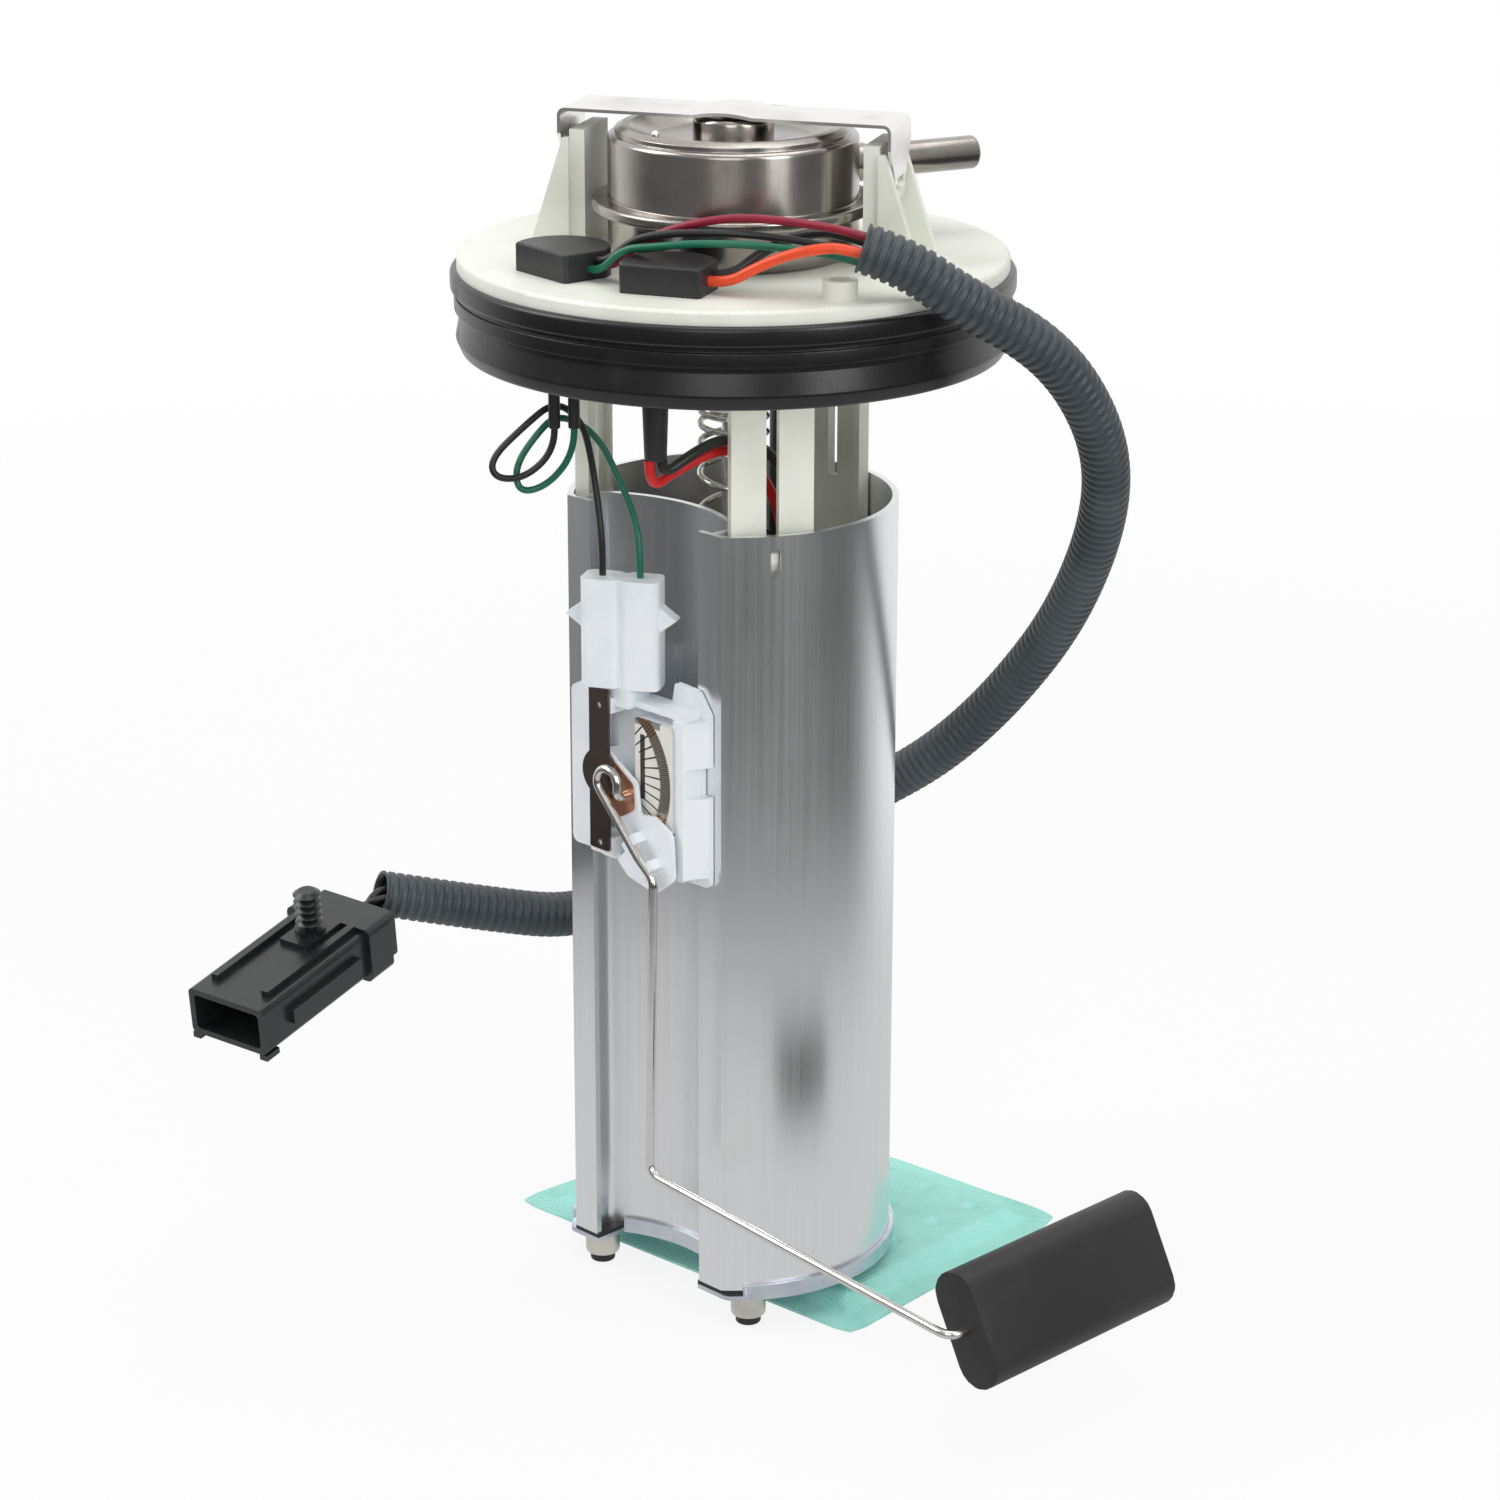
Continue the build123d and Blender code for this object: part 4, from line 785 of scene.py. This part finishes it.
def weld_at(spot):
    """How deep the spot welds press the pouch down at a point."""
    across = (spot.x + 200) % WELD_PITCH - WELD_PITCH / 2
    along = (spot.y + 200) % WELD_ROW - WELD_ROW / 2
    away = math.hypot(across, along)
    if away < WELD_RADIUS:
        return WELD_DEPTH * (1 - (away / WELD_RADIUS) ** 2) ** 2
    return 0.0


def pouch_point(s, t, top):
    """A point of the pouch's upper or lower skin, at shares of its width and its depth."""
    front = POUCH_CORNERS[0].lerp(POUCH_CORNERS[1], s)
    spot = front.lerp(POUCH_CORNERS[3].lerp(POUCH_CORNERS[2], s), t)
    beside = min(s, 1 - s) * POUCH_SIDE
    ahead = min(t, 1 - t) * POUCH_END
    pull = max(0.0, CORNER_ROUND - beside) * max(0.0, CORNER_ROUND - ahead) / CORNER_ROUND**2
    spot = spot.lerp(POUCH_MIDDLE, 0.022 * pull)
    if not top:
        return spot.x, spot.y, POUCH_LOW
    rim = POUCH_LOW + 0.7 + 0.35 * noise.noise((spot.x / 14, spot.y / 14, 2.0))
    swell = max(0.0, min(1.0, (min(beside, ahead) - SEAM) / SWELL_RUN))
    swell = swell * swell * (3 - 2 * swell)
    ripple = 0.35 * noise.noise((spot.x / 9, spot.y / 16, 7.0))
    return spot.x, spot.y, rim + swell * (SWELL_RISE + ripple - weld_at(spot))


def sock():
    """The strainer pouch: thin sealed rim, puffed middle with spot welds, slight ripples."""
    across, along = 150, 116
    shape = bmesh.new()
    layers = []
    for top in (True, False):
        rows = []
        for v in range(along + 1):
            points = [pouch_point(u / across, v / along, top) for u in range(across + 1)]
            rows.append([shape.verts.new(point) for point in points])
        for v in range(along):
            for u in range(across):
                shape.faces.new((rows[v][u], rows[v][u + 1], rows[v + 1][u + 1], rows[v + 1][u]))
        layers.append(rows)
    upper, lower = layers
    edge = [(0, u) for u in range(across)] + [(v, across) for v in range(along)]
    edge += [(along, u) for u in range(across, 0, -1)] + [(v, 0) for v in range(along, 0, -1)]
    for index, (v, u) in enumerate(edge):
        w, x = edge[(index + 1) % len(edge)]
        shape.faces.new((upper[v][u], upper[w][x], lower[w][x], lower[v][u]))
    return shape


pouch = settle(as_object("strainer_pouch", sock()), "reservoir", "sock_teal", ["strainer_sock"], angle=60)


# Level sender and float


arm_corners = (
    ((3.9, -40.4, -128.4), 0), ((3.9, -44.4, -128.4), 1.8), ((4.0, -44.4, -122.6), 3.2),
    ((-1.3, -44.4, -121.1), 3.2), ((-4.1, -44.4, -125.8), 3.2), ((11.6, -44.4, -142.6), 6),
    ((16.9, -44.4, -146.9), 4), ((15.0, -44.4, -227.6), 3.5), ((119.8, -44.4, -236.3), 4),
    ((119.8, 29.1, -236.3), 0),
)
skeleton = bmesh.new()
stops = [skeleton.verts.new(corner) for corner, bend in arm_corners]
for first, second in zip(stops, stops[1:]):
    skeleton.edges.new((first, second))
wire_line = as_object("arm_line", skeleton)
bends = wire_line.data.attributes.new("bend", "FLOAT", "POINT")
bends.data.foreach_set("value", [bend * MM for corner, bend in arm_corners])
values = {"Route": wire_line, "Radius": 1.15 * MM, "Finish": FINISHES["wire_steel"].material}
arm = bent_wire_tree().grow("float_arm_wire", values)
settle(arm, "float_arm", "bright_steel", ["float_arm"], FINISHES["wire_steel"], 80)
bpy.data.objects.remove(wire_line)


def float_outline():
    """The round-ended outline of the float on the side plane."""
    lean = Matrix.Rotation(math.radians(-63), 2)
    return [lean @ point + Vector(FLOAT_CENTRE) for point in oblong(30, 13, (0, 0))]


buoy = as_object("float_moulded", on_side(prism([float_outline()], 0, 66.5), -39.0, 66.5))
bevel(buoy, 1.1, 3)
settle(buoy, "float", "float_black", ["float_block"], angle=50)

teeth = teeth_tree().grow(
    "track_teeth",
    {
        "Count": 46, "Radius": 20.9 * MM, "Long": 3.6 * MM, "Wide": 0.26 * MM, "Deep": 0.24 * MM,
        "First": math.radians(-25), "Last": math.radians(37),
        "Front": -39.28 * MM, "Across": PIVOT[0] * MM, "Up": PIVOT[1] * MM,
        "Finish": FINISHES["terminal_tin"].material,
    },
)
settle(teeth, "reservoir", "bright_steel", [], FINISHES["terminal_tin"])


# Leads, harness wires and conduit


lead(
    "pump_lead_black", "wire_black",
    [
        (20.4, -44.1, -38), (20.4, -44.1, -42.2), (22.6, -36.2, -37.6), (23.2, -27.5, -35.4),
        (24.6, -17.5, -36.9), (27.2, -8.5, -45.5), (26.0, -2.4, -60), (22.5, 0.8, -77),
        (17.2, 3.4, -94), (15.3, 4.2, -110), (13, 6, -130), (13, 6, -141),
    ],
    1.3, PUMP_LEAD_KEEPS,
)
lead(
    "pump_lead_red", "lead_red",
    [
        (18.8, -46.7, -38), (18.8, -46.7, -45.2), (18.9, -39.2, -42.6), (20.9, -27.2, -38.6),
        (21.9, -18.4, -40.1), (23.9, -10.5, -50.3), (22.9, -5.0, -63), (18.9, -1.2, -79),
        (14.4, 1.8, -95), (12.1, 3.1, -110), (9.5, 6, -130), (9.5, 6, -141),
    ],
    1.3, PUMP_LEAD_KEEPS,
)
lead(
    "sender_lead_black", "wire_black",
    [
        (-11.2, -50.2, -35), (-11.2, -50.2, -40.5), (-15.2, -56.4, -47.2), (-19.4, -62.6, -47.0),
        (-20.6, -63.0, -42.2), (-17.2, -55.0, -34.8), (-14.2, -47.2, -29.0), (-10.2, -42.0, -34.2),
        (-9.8, -39.4, -44.0), (-7.2, -39.6, -56.0), (-5.1, -40.3, -65.0), (-5.1, -40.3, -73),
    ],
    0.85, SENDER_LEAD_KEEPS,
)
lead(
    "sender_lead_green", "wire_green",
    [
        (-7.8, -46.8, -35), (-7.8, -46.8, -41), (-12.6, -51.0, -49.4), (-17.2, -56.8, -51.4),
        (-18.8, -56.6, -45.0), (-17.0, -51.8, -38.0), (-14.8, -45.8, -32.4), (-10.9, -36.6, -38.6),
        (-6.4, -33.4, -49.5), (-0.4, -33.6, -58.5), (3.2, -35.3, -65.5), (3.2, -35.3, -73),
    ],
    0.85, SENDER_LEAD_KEEPS,
)

conduit_points = [
    (62.5, -19.3, 16.4), (70.1, -12.8, 13.3), (79.5, -3.9, 4.4), (91.3, 16.2, -8.9),
    (90.8, 36, -32.1), (81.1, 50.2, -56.7), (59.5, 62, -89.8), (35.4, 66.6, -117.9),
    (13.5, 65.9, -139.6), (-6.1, 60.8, -154.2), (-25.5, 50.8, -166.5), (-42, 34.8, -176.4),
    (-51.3, 12.3, -182.8), (-47.4, -12.6, -183.3), (-53.8, -40.5, -174.7), (-65.2, -64.9, -167.1),
]


def mouth(end, inner):
    """The matrix of an open end of the conduit, its Z pointing into it, in millimetres."""
    inward = (Vector(inner) - Vector(end)).normalized()
    across = Vector((0, 0, 1)).cross(inward).normalized()
    up = inward.cross(across)
    return Matrix.Translation(end) @ Matrix((across, up, inward)).transposed().to_4x4()


def harness_wire(name, slot, place, points, radius):
    """One wire from a block into the upper mouth of the conduit."""
    frame_at = mouth(conduit_points[0], conduit_points[1])
    across, up = place
    ends = [frame_at @ Vector((across, up, -3.5)), frame_at @ Vector((across, up, 8.5))]
    return lead(name, slot, points + [tuple(end) for end in ends], radius)


harness_wire(
    "wire_maroon", "wire_maroon", (0.0, 2.9),
    [
        (1.25, -44.8, 6.8), (5.2, -45.2, 6.8), (11.6, -42.2, 13.6),
        (21.4, -37.3, 18.4), (33.2, -31.0, 21.1), (46.5, -24.5, 20.8),
    ],
    1.05,
)
harness_wire(
    "wire_green", "wire_green", (0.1, -3.3),
    [
        (0.82, -48.9, 6.2), (4.8, -49.3, 6.2), (10.4, -47.2, 12.4),
        (18.5, -44.2, 13.6), (29.0, -39.0, 15.4), (41.2, -28.6, 15.0),
    ],
    0.95,
)
harness_wire(
    "wire_black_signal", "wire_black", (2.4, -2.2),
    [
        (1.03, -46.9, 8.2), (5.0, -47.3, 8.2), (11.0, -44.9, 14.2),
        (17.6, -41.8, 16.2), (27.9, -36.3, 17.4), (40.3, -26.2, 16.8),
    ],
    0.95,
)
harness_wire(
    "wire_red", "wire_red", (-2.6, -0.6),
    [(31.5, -38.9, 6.6), (36.0, -36.7, 6.6), (41.8, -34.6, 10.4), (49.0, -31.4, 14.2), (56.0, -27.8, 16.4)],
    1.3,
)
harness_wire(
    "wire_black_power", "wire_black", (2.6, 1.2),
    [(29.9, -35.6, 7.4), (33.9, -33.6, 7.4), (37.5, -28.6, 12.4), (41.9, -23.0, 16.0), (49.0, -19.4, 18.2)],
    1.3,
)

ringed = {
    "Radius": 6 * MM,
    "Sides": 32,
    "Step": 2.5 / 8 * MM,
    "Pitch": 2.5 * MM,
    "Groove": 0.11,
    "Finish": FINISHES["conduit_slate"].material,
}
loom, route, path = sheathed("conduit_ringed", conduit_points, ringed)
wall = loom.modifiers.new("wall", "SOLIDIFY")
wall.thickness = 0.7 * MM
wall.offset = -1
settle(loom, "flange", "conduit_slate", ["conduit"], angle=70)
bpy.data.objects.remove(route)


# Stage, light and camera

# The way from the object to the backdrop behind it
BACKDROP = (-0.7071, 0.7071, 0.0)


def soft_light(name, place, aim, size, power):
    """A white softbox that faces a point, its power in watts."""
    lamp = bpy.data.lights.new(name, "AREA")
    lamp.shape = "RECTANGLE"
    lamp.size, lamp.size_y = size
    lamp.energy = power
    made = bpy.data.objects.new(name, lamp)
    made.location = place
    made.rotation_euler = (Vector(aim) - Vector(place)).to_track_quat("-Z", "Y").to_euler()
    bpy.context.scene.collection.objects.link(made)
    return made


class Studio:
    """The node tree of the floor or of the world, whose look may differ for each kind of ray."""

    def __init__(self, tree):
        self.tree = tree

    def node(self, kind, settings=None, sockets=None):
        made = self.tree.nodes.new(kind)
        for setting, choice in (settings or {}).items():
            setattr(made, setting, choice)
        for socket, given in (sockets or {}).items():
            if isinstance(given, bpy.types.NodeSocket):
                self.tree.links.new(given, made.inputs[socket])
            else:
                made.inputs[socket].default_value = given
        return made.outputs

    def ramp(self, value, low, high, start, end):
        settings = {"interpolation_type": "SMOOTHSTEP"}
        return self.node("ShaderNodeMapRange", settings, {0: value, 1: low, 2: high, 3: start, 4: end})[0]

    def choose(self, share, first, second):
        return self.node("ShaderNodeMixShader", {}, {0: share, 1: first, 2: second})[0]

    def toward(self, direction):
        """1 where a direction points at the backdrop behind the object, -1 behind the camera."""
        sockets = {0: direction, 1: BACKDROP}
        return self.node("ShaderNodeVectorMath", {"operation": "DOT_PRODUCT"}, sockets)["Value"]

    def shown(self, rays):
        """1 for the rays by which metal and clear pieces show what is round them."""
        sockets = {0: rays["Is Glossy Ray"], 1: rays["Is Transmission Ray"]}
        return self.node("ShaderNodeMath", {"operation": "MAXIMUM"}, sockets)[0]


def pale_floor():
    """A pale round floor, white to the camera under a soft shadow; to metal and clear pieces it glows as a
    painted reflection, grey in front.
    """
    shape = bmesh.new()
    bmesh.ops.create_circle(shape, cap_ends=True, segments=96, radius=1600)
    bmesh.ops.translate(shape, verts=shape.verts, vec=(0, 0, FLOOR - 0.15))
    made = as_object("floor", shape)
    paint = bpy.data.materials.new("floor_white")
    paint.use_nodes = True
    studio = Studio(paint.node_tree)
    surface = paint.node_tree.nodes["Principled BSDF"]
    surface.inputs["Base Color"].default_value = (0.82, 0.82, 0.82, 1)
    surface.inputs["Roughness"].default_value = 0.9
    rays = studio.node("ShaderNodeLightPath")
    place = studio.node("ShaderNodeTexCoord")["Object"]
    away = studio.node("ShaderNodeVectorMath", {"operation": "LENGTH"}, {0: place})["Value"]
    facing = studio.node("ShaderNodeVectorMath", {"operation": "NORMALIZE"}, {0: place})["Vector"]
    far = studio.ramp(studio.toward(facing), -0.1, 0.6, 0.08, 0.9)
    white = studio.node("ShaderNodeEmission", {}, {"Strength": 1.0})[0]
    # Painted reflection: for glossy and transmission rays the floor glows grey instead of showing its lit
    # surface, 0.66 near the object and darker toward the camera's side.
    dim = studio.node("ShaderNodeEmission", {}, {"Strength": studio.ramp(away, 0.36, 0.5, 0.66, far)})[0]
    seen = studio.ramp(away, 0.3, 1.2, 0.86, 1.0)
    seen = studio.node("ShaderNodeMath", {"operation": "MULTIPLY"}, {0: rays["Is Camera Ray"], 1: seen})[0]
    mirrored = studio.choose(studio.shown(rays), surface.outputs[0], dim)
    whole = studio.choose(seen, mirrored, white)
    paint.node_tree.links.new(whole, paint.node_tree.nodes["Material Output"].inputs[0])
    made.data.materials.append(paint)


def studio_world():
    """White to the camera and where metal mirrors the backdrop; otherwise a room lighter overhead."""
    world = bpy.data.worlds.new("studio")
    bpy.context.scene.world = world
    world.use_nodes = True
    studio = Studio(world.node_tree)
    rays = studio.node("ShaderNodeLightPath")
    aim = studio.node("ShaderNodeTexCoord")["Generated"]
    rise = studio.node("ShaderNodeSeparateXYZ", {}, {0: aim})[2]
    level = studio.ramp(rise, 0.0, 0.8, 0.22, 0.6)
    room = studio.node("ShaderNodeBackground", {}, {"Strength": level})[0]
    mirror = {"Color": (1, 1, 1, 1), "Strength": studio.ramp(studio.toward(aim), -0.1, 0.6, level, 1.0)}
    mirrored = studio.choose(studio.shown(rays), room, studio.node("ShaderNodeBackground", {}, mirror)[0])
    white = studio.node("ShaderNodeBackground", {}, {"Color": (1, 1, 1, 1), "Strength": 1.0})[0]
    whole = studio.choose(rays["Is Camera Ray"], mirrored, white)
    world.node_tree.links.new(whole, world.node_tree.nodes["World Output"].inputs[0])


pale_floor()
soft_light("key", (-0.9, -0.9, 0.9), (0, 0, -0.1), (0.9, 1.1), 11)
soft_light("fill", (1.5, -0.1, 0.5), (0, 0, -0.12), (0.6, 1.2), 8)
soft_light("front", (0.9, -1.1, 0.45), (0, 0, -0.15), (0.7, 0.9), 4)
soft_light("top", (0.1, 0.2, 1.3), (0, 0, 0), (1.2, 1.2), 8)
studio_world()

camera = bpy.data.objects.new("camera", bpy.data.cameras.new("camera"))
camera.location = (0.72303, -0.71046, 0.2186)
camera.rotation_euler = (1.24203, -0.00222, 0.79058)
camera.data.lens = 99.78
camera.data.sensor_width = 36
camera.data.clip_start = 0.01
camera.data.clip_end = 100
bpy.context.scene.collection.objects.link(camera)
bpy.context.scene.camera = camera
bpy.context.scene.view_settings.view_transform = "Standard"
